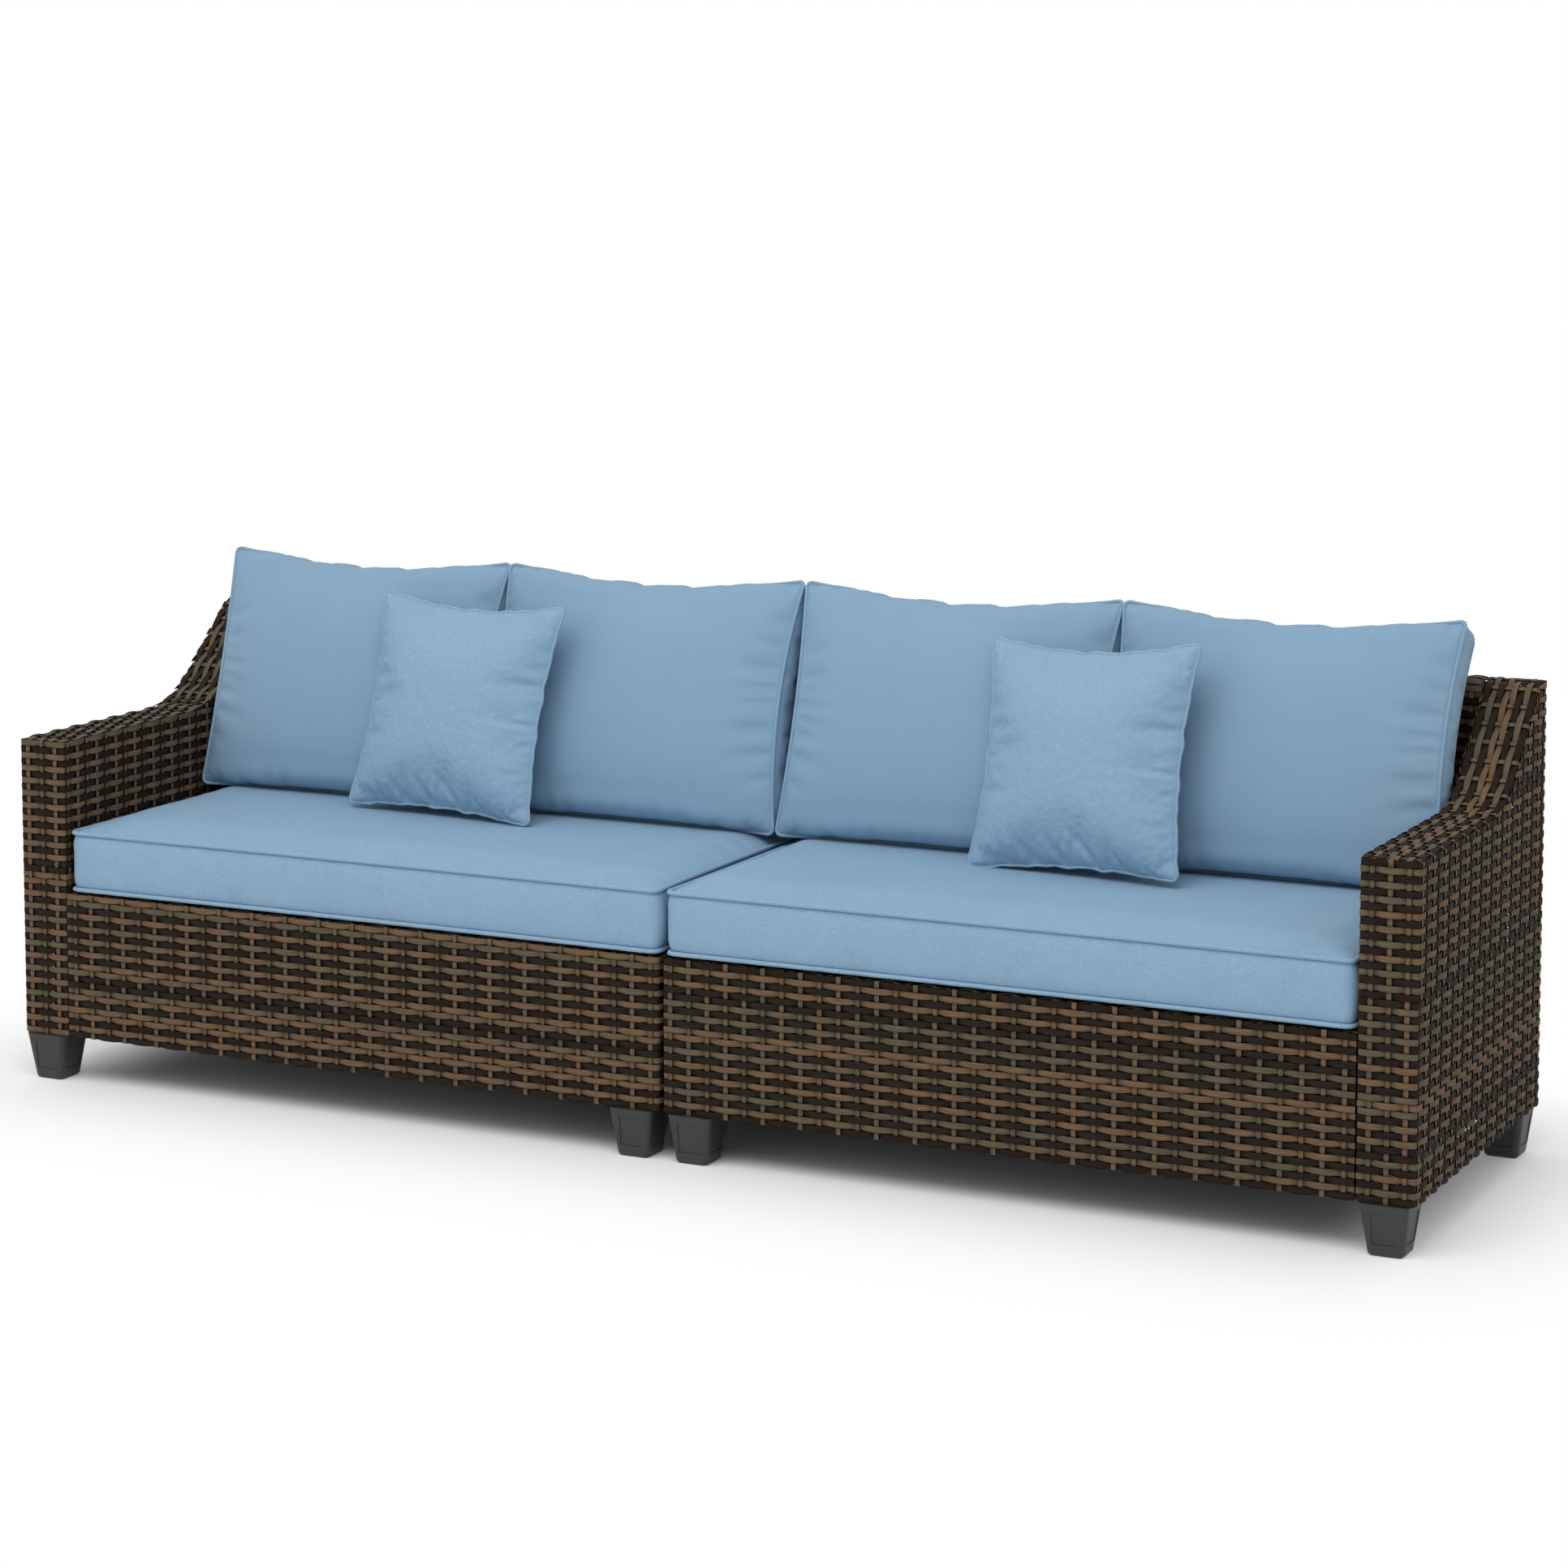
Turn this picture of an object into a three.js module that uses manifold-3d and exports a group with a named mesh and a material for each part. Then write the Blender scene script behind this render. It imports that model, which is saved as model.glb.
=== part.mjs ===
// A rattan garden sofa: two woven loveseats that stand end to end, each with one arm, four feet,
// a seat cushion, two back cushions and a throw pillow.
// Millimetres. +X runs along the sofa, -Y is the front, +Z is up, and the feet stand on Z = 0.
import * as THREE from "three";
import { mergeVertices } from "three/addons/utils/BufferGeometryUtils.js";
import Module from "manifold-3d";

const wasm = await Module();
wasm.setup();

// The whole sofa
const sofaLength = 2400;
const wovenDepth = 649;
const armWidth = 91.5;
const armHeight = 573;
const backHeight = 742;
const undersideHeight = 77;
const deckHeight = 319;
const backThickness = 53;
const moduleGap = 3;

// Frame tube, woven skin and the clearance between pieces that touch
const tube = 22;
const postTube = 19;
const weave = 5.5;
const clearance = 0.3;
const overrun = 12;

// The arm's sweep up to the back: level, an arc, then a straight slope
const sweepRun = 284.5;
const sweepRadius = 170;
const sweepAngle = THREE.MathUtils.degToRad(42);
const crestBend = 26;
const edgeBend = 9;
const sideBend = 7;

// Feet and the bolts that hold them
const footTop = 75;
const footBottom = 54;
const footCorner = 9;
const footChamfer = 3.5;
const footSetBack = 31.5;
const footFromSeam = 50.7;
const panelWidth = 38;
const panelLedge = 18;
const panelHead = 64;
const panelDepth = 1.2;
const boltRadius = 3;
const boltHead = 5.8;
const boltHeadHeight = 4;
const counterbore = 8;
const plateThickness = 4;
const plateStep = 1;
const plateReach = 32;
const nutHeight = 6;

// Cushions and pillows
const seatSeamRise = 6.5;
const seatGusset = 94.5;
const seatCrown = 21;
const seatDrawIn = 4;
const seatBulge = 4.5;
const backSeamHeight = 415;
const backGusset = 57;
const backFrontCrown = 42;
const backRearCrown = 59;
const backDrawIn = 14;
const backTopSag = 22;
const backBulge = 10;
const backSlouch = 13;
const backLeanGap = 2.4;
const recline = THREE.MathUtils.degToRad(16.4);
const cushionCorner = 9;
const pillowSize = 366;
const pillowThickness = 116;
const pillowDrawIn = 19;

// Places that follow from the sizes above
const armInner = sofaLength / 2 - armWidth;
const seamFace = moduleGap / 2;
const frontFace = -wovenDepth / 2;
const rearFace = wovenDepth / 2;
const sweepStart = rearFace - sweepRun;
const skin = weave + clearance;
const backInner = rearFace - backThickness;
const frameTop = deckHeight - weave - clearance;
const footHeight = undersideHeight - clearance;
const footCentre = wovenDepth / 2 - footSetBack;
const outerFoot = sofaLength / 2 - armWidth / 2;
const boltHole = boltRadius + clearance;

const seatSeamLow = deckHeight + seatSeamRise;
const seatSeamHigh = seatSeamLow + seatGusset;

const slate = "#3f4042";
const blue = "#84a7c3";

// Solids and how they are joined and cut
function solidOf(geometry) {
  const bare = geometry.clone();
  bare.deleteAttribute("normal");
  bare.deleteAttribute("uv");
  const merged = mergeVertices(bare);
  const vertProperties = new Float32Array(merged.attributes.position.array);
  const triVerts = new Uint32Array(merged.index.array);
  return new wasm.Manifold(new wasm.Mesh({ numProp: 3, vertProperties, triVerts }));
}

function geometryOf(solid) {
  const mesh = solid.getMesh();
  const geometry = new THREE.BufferGeometry();
  geometry.setAttribute("position", new THREE.BufferAttribute(mesh.vertProperties, 3));
  geometry.setIndex(new THREE.BufferAttribute(mesh.triVerts, 1));
  return geometry;
}

function joined(geometries) {
  const [first, ...others] = geometries.map(solidOf);
  return geometryOf(others.reduce((sum, next) => sum.add(next), first));
}

function cut(geometry, tools) {
  const start = solidOf(geometry);
  return geometryOf(tools.map(solidOf).reduce((left, tool) => left.subtract(tool), start));
}

// A box between two places along each axis, its corners exactly there so that flush faces meet
function block(x, y, z) {
  const geometry = new THREE.BoxGeometry(1, 1, 1);
  const position = geometry.attributes.position;
  const pick = (ends, sign) => (sign < 0 ? ends[0] : ends[1]);
  for (let corner = 0; corner < position.count; corner += 1) {
    position.setXYZ(
      corner,
      pick(x, position.getX(corner)),
      pick(y, position.getY(corner)),
      pick(z, position.getZ(corner)),
    );
  }
  return geometry;
}

function rod(radius, length, sides = 12) {
  const geometry = new THREE.CylinderGeometry(radius, radius, length, sides);
  geometry.rotateX(Math.PI / 2);
  geometry.translate(0, 0, length / 2);
  return geometry;
}

// An outline drawn in Y and Z, swept along X from the first place to the second
function sweptAcross(shape, from, to, roundness = 0) {
  const options = { depth: to - from - 2 * roundness, steps: 1, curveSegments: 4 };
  if (roundness > 0) {
    options.bevelThickness = roundness;
    options.bevelSize = roundness;
    options.bevelOffset = -roundness;
    options.bevelSegments = 3;
  } else {
    options.bevelEnabled = false;
  }
  const geometry = new THREE.ExtrudeGeometry(shape, options);
  const across = new THREE.Vector3(1, 0, 0);
  const along = new THREE.Vector3(0, 1, 0);
  const up = new THREE.Vector3(0, 0, 1);
  geometry.translate(0, 0, from + roundness);
  geometry.applyMatrix4(new THREE.Matrix4().makeBasis(along, up, across));
  return geometry;
}

// The outline through some corners, each given as a place and the length of its bend
function outlineThrough(corners) {
  const shape = new THREE.Shape();
  corners.forEach(([y, z, bend], place) => {
    const before = corners.at(place - 1);
    const after = corners[(place + 1) % corners.length];
    const corner = new THREE.Vector2(y, z);
    const enter = new THREE.Vector2(before[0], before[1]).sub(corner).setLength(bend).add(corner);
    const leave = new THREE.Vector2(after[0], after[1]).sub(corner).setLength(bend).add(corner);
    if (place === 0) shape.moveTo(enter.x, enter.y);
    else shape.lineTo(enter.x, enter.y);
    if (bend > 0) shape.quadraticCurveTo(y, z, leave.x, leave.y);
  });
  shape.closePath();
  return shape;
}

// The arm's side outline, drawn in by a thickness. Its level top turns into an arc that lifts to a
// straight slope, and the slope meets the level of the back's top.
function armOutline(inset, low) {
  const level = armHeight - inset;
  const ridge = backHeight - inset;
  const front = frontFace + inset;
  const rear = rearFace - inset;
  const radius = sweepRadius + inset;
  const arcHeight = armHeight + sweepRadius;
  const slope = Math.tan(sweepAngle);
  const bendY = sweepStart + radius * Math.sin(sweepAngle);
  const bendZ = arcHeight - radius * Math.cos(sweepAngle);
  const crestY = Math.min(rear, bendY + (ridge - bendZ) / slope);
  const crestZ = bendZ + (crestY - bendY) * slope;
  const edge = Math.max(edgeBend - inset, 0);
  const crest = Math.max(crestBend - inset, 0);
  const shape = new THREE.Shape();
  shape.moveTo(front, low);
  shape.lineTo(rear, low);
  shape.lineTo(rear, crestZ - edge);
  if (crestY < rear) {
    if (edge > 0) shape.absarc(rear - edge, ridge - edge, edge, 0, Math.PI / 2, false);
    const run = Math.min(crest, rear - edge - crestY);
    shape.lineTo(crestY + run, ridge);
    const foot = new THREE.Vector2(Math.cos(sweepAngle), Math.sin(sweepAngle)).multiplyScalar(run);
    if (run > 0) shape.quadraticCurveTo(crestY, ridge, crestY - foot.x, ridge - foot.y);
  }
  shape.absarc(sweepStart, arcHeight, radius, sweepAngle - Math.PI / 2, -Math.PI / 2, true);
  shape.lineTo(front + edge, level);
  if (edge > 0) shape.absarc(front + edge, level - edge, edge, Math.PI / 2, Math.PI, false);
  shape.closePath();
  return shape;
}

// Bolts run along X into the arm, or along Z into a foot or the back. Each is a place and a turn.
const boltShank = tube + weave + 2 * clearance + tube / 2;
const postBoltHeight = deckHeight - 2 * tube;
const railBoltReach = wovenDepth / 3;
const armBolts = {
  front_post: [frontFace + skin + tube / 2, postBoltHeight],
  front_rail: [-railBoltReach, undersideHeight + tube / 2],
  rear_rail: [railBoltReach, undersideHeight + tube / 2],
  rear_post: [rearFace - skin - tube / 2, postBoltHeight],
};
const armBoltSeat = armInner - clearance - tube;
const backBoltSeat = frameTop - tube;
const backBoltReach = armInner / 4;
const backBoltDepth = rearFace - skin - tube / 2;
const backBolts = {
  inner: backBoltReach,
  outer: armInner - backBoltReach,
};

function hexBolt(length) {
  const head = rod(boltHead, boltHeadHeight, 6);
  head.translate(0, 0, -boltHeadHeight);
  const shank = rod(boltRadius, length + boltHeadHeight / 2);
  shank.translate(0, 0, -boltHeadHeight / 2);
  return joined([head, shank]);
}

function alongX(geometry, x, y, z) {
  geometry.rotateY(Math.PI / 2);
  geometry.translate(x, y, z);
  return geometry;
}

function armBoltHoles(from, to) {
  return Object.values(armBolts).map(([y, z]) => alongX(rod(boltHole, to - from), from, y, z));
}

function armBolt(y, z) {
  return alongX(hexBolt(boltShank), armBoltSeat - clearance, y, z);
}

function backBolt(x) {
  const geometry = hexBolt(tube + clearance + tube / 2);
  geometry.translate(x, backBoltDepth, backBoltSeat - clearance);
  return geometry;
}

// Feet are moulded tapered squares with a shallow panel in each side, a wide bore from below for
// the bolt's head, and a hole through the top.
const bearing = boltHeadHeight + plateThickness;

function roundedSquare(size, corner, height) {
  const reach = size / 2 - corner;
  const points = [];
  for (let turn = 0; turn < 4; turn += 1) {
    const quarter = (turn * Math.PI) / 2;
    for (let step = 0; step <= 3; step += 1) {
      const angle = quarter + (step * Math.PI) / 6;
      const middle = new THREE.Vector2(reach, reach).rotateAround(new THREE.Vector2(), quarter);
      points.push(new THREE.Vector3(
        middle.x + corner * Math.cos(angle), middle.y + corner * Math.sin(angle), height,
      ));
    }
  }
  return points;
}

// A closed solid through rings of as many points, from the lowest to the highest
function lofted(rings) {
  const around = rings[0].length;
  const points = rings.flat();
  const indices = [];
  for (let ring = 0; ring < rings.length - 1; ring += 1) {
    for (let step = 0; step < around; step += 1) {
      const here = ring * around + step;
      const next = ring * around + ((step + 1) % around);
      indices.push(here, next, next + around, here, next + around, here + around);
    }
  }
  const top = (rings.length - 1) * around;
  for (let step = 1; step < around - 1; step += 1) {
    indices.push(0, step + 1, step, top, top + step, top + step + 1);
  }
  const geometry = new THREE.BufferGeometry().setFromPoints(points);
  geometry.setIndex(indices);
  return geometry;
}

function footPanels() {
  const lean = Math.atan2((footTop - footBottom) / 2, footHeight);
  const height = (panelHead - panelLedge) / Math.cos(lean);
  const middle = (panelLedge + panelHead) / 2;
  const face = footBottom / 2 + (middle / footHeight) * ((footTop - footBottom) / 2);
  return [0, 1, 2, 3].map((turn) => {
    const panel = new THREE.BoxGeometry(panelWidth, 2 * panelDepth, height);
    panel.rotateX(lean);
    panel.translate(0, -face, middle);
    panel.rotateZ((turn * Math.PI) / 2);
    return panel;
  });
}

function foot() {
  const low = roundedSquare(footBottom - 2 * footChamfer, footCorner - footChamfer, 0);
  const step = (footChamfer / footHeight) * (footTop - footBottom);
  const edge = roundedSquare(footBottom + step, footCorner, footChamfer);
  const high = roundedSquare(footTop, footCorner, footHeight);
  const body = lofted([low, edge, high]);
  const bore = rod(counterbore, footHeight - bearing + overrun);
  bore.translate(0, 0, -overrun);
  const hole = rod(boltHole, footHeight);
  hole.translate(0, 0, overrun);
  return cut(body, [bore, hole, ...footPanels()]);
}

function footBolt() {
  const geometry = hexBolt(bearing + plateThickness + nutHeight);
  geometry.translate(0, 0, footHeight - bearing - clearance);
  return geometry;
}

// A foot plate is welded between the tubes, with a nut on it for the foot's bolt.
function footPlate(x, y, boltX, boltY) {
  const low = undersideHeight + plateStep;
  const plate = block(x, y, [low, low + plateThickness]);
  const nut = rod(boltHead, nutHeight + plateThickness / 2, 6);
  nut.translate(boltX, boltY, low + plateThickness / 2);
  return [plate, nut];
}

// The places of a plate along Y, from the middle of the end tube to past the bolt
function plateSpan(end) {
  const tubeMiddle = wovenDepth / 2 - skin - tube / 2;
  return [tubeMiddle, footCentre - plateReach].map((y) => end * y).sort((a, b) => a - b);
}

function footHole(x, y) {
  const hole = rod(boltHole, plateThickness + nutHeight + 2 * overrun);
  hole.translate(x, y, undersideHeight - overrun);
  return hole;
}

// The arm: a welded frame of two hoops side by side with posts and ties, and its woven skin
function armFrame() {
  const shape = armOutline(skin, undersideHeight);
  shape.holes.push(armOutline(skin + tube, undersideHeight + tube));
  const hoops = [armInner + skin, sofaLength / 2 - skin - tube];
  const middles = hoops.map((x) => x + tube / 2);
  const half = postTube / 2;
  const pieces = hoops.map((x) => sweptAcross(shape, x, x + tube));
  const bay = (wovenDepth - 2 * skin) / 6;
  for (const x of middles) {
    for (const y of [-bay, bay]) {
      const height = [undersideHeight + tube / 2, armHeight - skin];
      pieces.push(block([x - half, x + half], [y - half, y + half], height));
    }
  }
  const frontTube = frontFace + skin + tube / 2;
  const rearTube = rearFace - skin - tube / 2;
  const topTube = armHeight - skin - tube / 2;
  const ties = [[frontTube, topTube - tube], [frontTube, deckHeight], [rearTube, deckHeight]];
  for (const [y, z] of [...ties, [0, topTube]]) {
    pieces.push(block(middles, [y - half, y + half], [z - half, z + half]));
  }
  for (const end of [-1, 1]) {
    pieces.push(...footPlate(middles, plateSpan(end), outerFoot, end * footCentre));
  }
  const holes = [-footCentre, footCentre].map((y) => footHole(outerFoot, y));
  holes.push(...armBoltHoles(armInner + skin - overrun, armInner + skin + tube + overrun / 2));
  return cut(joined(pieces), holes);
}

function armWeave() {
  const outer = sweptAcross(armOutline(0, undersideHeight), armInner, sofaLength / 2, sideBend);
  const hollow = sweptAcross(
    armOutline(weave, undersideHeight - overrun), armInner + weave, sofaLength / 2 - weave,
  );
  return cut(outer, [hollow, ...armBoltHoles(armInner - overrun, armInner + weave + overrun / 2)]);
}

// The base: a box of welded tube under the seat, skinned at the front, the seam end and the rear
const baseInner = seamFace + skin;
const baseOuter = armInner - clearance;
const baseFront = frontFace + skin;
const baseRear = rearFace - skin;
const crossBars = 4;

// A ladder of tube laid flat: a frame of a depth, with evenly spaced bars across it
function ladder(x, y, depth, bars) {
  const pitch = (x[1] - x[0] - tube) / (bars + 1);
  const bays = [];
  for (let bay = 0; bay <= bars; bay += 1) {
    const across = [x[0] + tube + bay * pitch, x[0] + (bay + 1) * pitch];
    bays.push(block(across, [y[0] + tube, y[1] - tube], [-overrun, depth + overrun]));
  }
  return cut(block(x, y, [0, depth]), bays);
}

function baseFrame() {
  const x = [baseInner, baseOuter];
  const y = [baseFront, baseRear];
  const top = ladder(x, y, tube, crossBars);
  top.translate(0, 0, frameTop - tube);
  const ring = ladder(x, y, tube, 0);
  ring.translate(0, 0, undersideHeight);
  const pieces = [top, ring];
  const half = postTube / 2;
  const height = [undersideHeight + tube / 2, frameTop - tube / 2];
  for (const postX of [baseInner + tube / 2, baseOuter - tube / 2]) {
    for (const postY of [baseFront + tube / 2, baseRear - tube / 2]) {
      pieces.push(block([postX - half, postX + half], [postY - half, postY + half], height));
    }
  }
  for (const end of [-1, 1]) {
    const across = [baseInner + tube / 2, footFromSeam + plateReach];
    pieces.push(...footPlate(across, plateSpan(end), footFromSeam, end * footCentre));
  }
  const holes = [-footCentre, footCentre].map((place) => footHole(footFromSeam, place));
  holes.push(...armBoltHoles(armBoltSeat - overrun / 2, baseOuter + overrun));
  holes.push(...backBoltHoles(backBoltSeat - overrun / 2, frameTop + overrun));
  return cut(joined(pieces), holes);
}

function backBoltHoles(from, to) {
  return Object.values(backBolts).map((x) => {
    const hole = rod(boltHole, to - from);
    hole.translate(x, backBoltDepth, from);
    return hole;
  });
}

function baseWeave() {
  const shape = new THREE.Shape();
  shape.moveTo(baseOuter, frontFace);
  shape.lineTo(baseOuter, frontFace + weave);
  shape.lineTo(seamFace + weave, frontFace + weave);
  shape.lineTo(seamFace + weave, rearFace - weave);
  shape.lineTo(baseOuter, rearFace - weave);
  shape.lineTo(baseOuter, rearFace);
  shape.lineTo(seamFace + edgeBend, rearFace);
  shape.quadraticCurveTo(seamFace, rearFace, seamFace, rearFace - edgeBend);
  shape.lineTo(seamFace, frontFace + edgeBend);
  shape.quadraticCurveTo(seamFace, frontFace, seamFace + edgeBend, frontFace);
  shape.closePath();
  const height = deckHeight - undersideHeight;
  const geometry = new THREE.ExtrudeGeometry(shape, {
    depth: height, bevelEnabled: false, curveSegments: 4,
  });
  geometry.translate(0, 0, undersideHeight);
  return geometry;
}

// The deck is a woven panel that lies on the cross bars inside the base's skin.
function seatDeck() {
  return block(
    [baseInner, baseOuter], [baseFront, backInner - clearance], [deckHeight - weave, deckHeight],
  );
}

// The back: a welded ladder of tube that stands on the base's rear rail, and its woven skin
const backBars = 4;
const backSole = frameTop + clearance;

function backFrame() {
  const across = [baseInner, armInner - clearance - skin];
  const upright = [backSole, backHeight - skin];
  const frame = ladder(across, upright, backThickness - 2 * skin, backBars);
  frame.rotateX(Math.PI / 2);
  frame.translate(0, rearFace - skin, 0);
  return cut(frame, backBoltHoles(backSole - overrun, backSole + tube + overrun / 2));
}

function backWeave() {
  const sole = deckHeight + clearance;
  const outline = outlineThrough([
    [backInner, sole, 0],
    [rearFace, sole, 0],
    [rearFace, backHeight, edgeBend],
    [backInner, backHeight, edgeBend],
  ]);
  const end = armInner - clearance;
  const outer = sweptAcross(outline, seamFace, end);
  const hollow = block(
    [seamFace + weave, end - weave], [backInner + weave, rearFace - weave],
    [sole - overrun, backHeight - weave],
  );
  return cut(outer, [hollow]);
}

// Padded forms. A form is a front and a rear face over one grid, crowned between drawn-in seams,
// with a band between the two seams where the cushion has one.
function spread(count) {
  const places = [];
  for (let step = 0; step <= count; step += 1) {
    places.push(Math.sin(((2 * step) / count - 1) * (Math.PI / 2)));
  }
  return places;
}

function paddedForm(form) {
  const across = spread(form.columns);
  const along = spread(form.rows);
  const width = across.length;
  const points = [];
  const indices = [];
  const rim = (s, t) => {
    const corner = Math.abs(s) === 1 && Math.abs(t) === 1 ? form.corner : 0;
    const ends = t > 0 ? form.drawTop : form.drawFoot;
    return [
      s * (form.width / 2 - form.drawSide * (1 - t * t) - corner),
      t * (form.length / 2 - ends * (1 - s * s) - corner),
    ];
  };
  const bow = (t) => form.slouch * (1 - t * t);
  const rise = (s, t) => (1 - Math.abs(s) ** form.power) * (1 - Math.abs(t) ** form.power);
  for (const face of [1, -1]) {
    const crown = face > 0 ? form.frontCrown : form.rearCrown;
    for (const t of along) {
      for (const s of across) {
        const [x, y] = rim(s, t);
        const height = form.band / 2 + crown * rise(s, t) ** form.fullness;
        points.push(new THREE.Vector3(x, y, face * height + bow(t)));
      }
    }
  }
  const half = width * along.length;
  for (let row = 0; row < form.rows; row += 1) {
    for (let column = 0; column < form.columns; column += 1) {
      const a = row * width + column;
      const b = a + width;
      indices.push(a, a + 1, b + 1, a, b + 1, b);
      indices.push(half + a, half + b + 1, half + a + 1, half + a, half + b, half + b + 1);
    }
  }
  if (form.band > 0) bandRound(form, across, along, points, indices, half, rim, bow);
  const geometry = new THREE.BufferGeometry().setFromPoints(points);
  geometry.setIndex(indices);
  return mergeVertices(geometry);
}

// The rim's grid places in order, going round against the clock as seen from the front
function rimPlaces(columns, rows) {
  const places = [];
  for (let column = 0; column < columns; column += 1) places.push([column, 0]);
  for (let row = 0; row < rows; row += 1) places.push([columns, row]);
  for (let column = columns; column > 0; column -= 1) places.push([column, rows]);
  for (let row = rows; row > 0; row -= 1) places.push([0, row]);
  return places;
}

function bandRound(form, across, along, points, indices, half, rim, bow) {
  const places = rimPlaces(form.columns, form.rows);
  const width = across.length;
  const middle = points.length;
  for (const [column, row] of places) {
    const s = across[column];
    const t = along[row];
    const [x, y] = rim(s, t);
    const swell = form.bulge * (1 - Math.min(Math.abs(s), Math.abs(t)) ** form.power);
    const awayX = Math.abs(s) === 1 ? s * swell : 0;
    const awayY = Math.abs(t) === 1 ? t * swell : 0;
    points.push(new THREE.Vector3(x + awayX, y + awayY, bow(t)));
  }
  places.forEach(([column, row], step) => {
    const next = (step + 1) % places.length;
    const front = row * width + column;
    const frontNext = places[next][1] * width + places[next][0];
    const here = middle + step;
    const ahead = middle + next;
    indices.push(here, ahead, frontNext, here, frontNext, front);
    indices.push(half + front, half + frontNext, ahead, half + front, ahead, here);
  });
}

function seatCushion() {
  const low = deckHeight + clearance;
  const left = seamFace + clearance;
  const right = armInner - clearance;
  const rear = backInner - clearance;
  const front = frontFace + clearance;
  const middle = (seatSeamLow + seatSeamHigh) / 2;
  const geometry = paddedForm({
    columns: 12,
    rows: 8,
    width: right - left - 2 * seatBulge,
    length: rear - front - 2 * seatBulge,
    drawSide: seatDrawIn,
    drawTop: seatDrawIn,
    drawFoot: seatDrawIn,
    corner: cushionCorner / 2,
    band: seatGusset,
    bulge: seatBulge,
    frontCrown: seatCrown,
    rearCrown: seatSeamLow - low,
    power: 6,
    fullness: 1,
    slouch: 0,
  });
  geometry.translate((left + right) / 2, (front + rear) / 2, middle);
  return geometry;
}

const seatTop = seatSeamHigh + seatCrown;

// A padded form that stands on the seat: turned up, leaned back, and flat where it rests
function leanOn(geometry, x, y, z, lean, yaw = 0, roll = 0) {
  const across = new THREE.Vector3(1, 0, 0);
  const up = new THREE.Vector3(0, Math.sin(lean), Math.cos(lean));
  const forward = new THREE.Vector3().crossVectors(across, up);
  geometry.rotateZ(roll);
  geometry.applyMatrix4(new THREE.Matrix4().makeBasis(across, up, forward));
  geometry.rotateZ(yaw);
  geometry.translate(x, y, z);
  const position = geometry.attributes.position;
  for (let point = 0; point < position.count; point += 1) {
    position.setZ(point, Math.max(position.getZ(point), seatTop + clearance));
  }
  return geometry;
}

// A back cushion stands so far before the back that it leans on the back's top edge, whose
// distance from the cushion's front seam is measured square to the cushion.
const backWidth = (armInner - clearance - seamFace - clearance) / 2;
const backRest = backGusset + backRearCrown - backSlouch + backLeanGap;
const leanRise = (backHeight - seatTop) * Math.sin(recline);
const backFoot = backInner - (backRest + leanRise) / Math.cos(recline);

function backCushion(place) {
  const geometry = paddedForm({
    columns: 10,
    rows: 8,
    width: backWidth - clearance,
    length: backSeamHeight,
    drawSide: backDrawIn,
    drawTop: backTopSag,
    drawFoot: 0,
    corner: cushionCorner,
    band: backGusset,
    bulge: backBulge,
    frontCrown: backFrontCrown,
    rearCrown: backRearCrown,
    power: 3,
    fullness: 1,
    slouch: backSlouch,
  });
  geometry.translate(0, backSeamHeight / 2, -backGusset / 2);
  const x = seamFace + clearance + backWidth * (place + 1 / 2);
  return leanOn(geometry, x, backFoot, seatTop, recline);
}

// Each pillow stands before the meeting of two back cushions, turned a little its own way and
// pressed a little into them.
const pillows = {
  left: { side: -1, aside: 13, pressed: 7, lift: 0, yaw: -4.4, roll: 0 },
  right: { side: 1, aside: 3, pressed: 2, lift: 4, yaw: -7.2, roll: 2.6 },
};

function throwPillow({ side, aside, pressed, lift, yaw, roll }) {
  const geometry = paddedForm({
    columns: 10,
    rows: 10,
    width: pillowSize,
    length: pillowSize,
    drawSide: pillowDrawIn,
    drawTop: pillowDrawIn,
    drawFoot: pillowDrawIn,
    corner: 0,
    band: 0,
    bulge: 0,
    frontCrown: pillowThickness / 2,
    rearCrown: pillowThickness / 2,
    power: 2.2,
    fullness: 0.75,
    slouch: 0,
  });
  geometry.translate(0, pillowSize / 2, 0);
  const x = side * (seamFace + clearance + backWidth + aside);
  const y = backFoot - backFrontCrown - backSlouch - pillowThickness / 2 + pressed;
  const degrees = THREE.MathUtils.degToRad;
  return leanOn(geometry, x, y, seatTop + lift, recline, degrees(yaw), degrees(roll));
}

// Materials: one for each finish
function finish(color, roughness, metalness = 0) {
  return new THREE.MeshStandardMaterial({ color, roughness, metalness });
}

const rattan = () => finish("#4b3a2b", 0.55);
const powderCoat = () => finish("#2b2a29", 0.5, 0.3);
const footPlastic = () => finish(slate, 0.5);
const zincSteel = () => finish("#a9adb0", 0.35, 1);
const fabric = () => finish(blue, 0.9);

const sofa = new THREE.Group();

function mirrored(geometry) {
  geometry.scale(-1, 1, 1);
  const index = geometry.index ?? mergeVertices(geometry).index;
  const turned = geometry.index ? geometry : mergeVertices(geometry);
  const order = index.array.slice();
  for (let face = 0; face < order.length; face += 3) {
    [order[face], order[face + 1]] = [order[face + 1], order[face]];
  }
  turned.setIndex(new THREE.BufferAttribute(order, 1));
  return turned;
}

function add(name, geometry, material) {
  const mesh = new THREE.Mesh(geometry, material);
  mesh.name = name;
  sofa.add(mesh);
}

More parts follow.
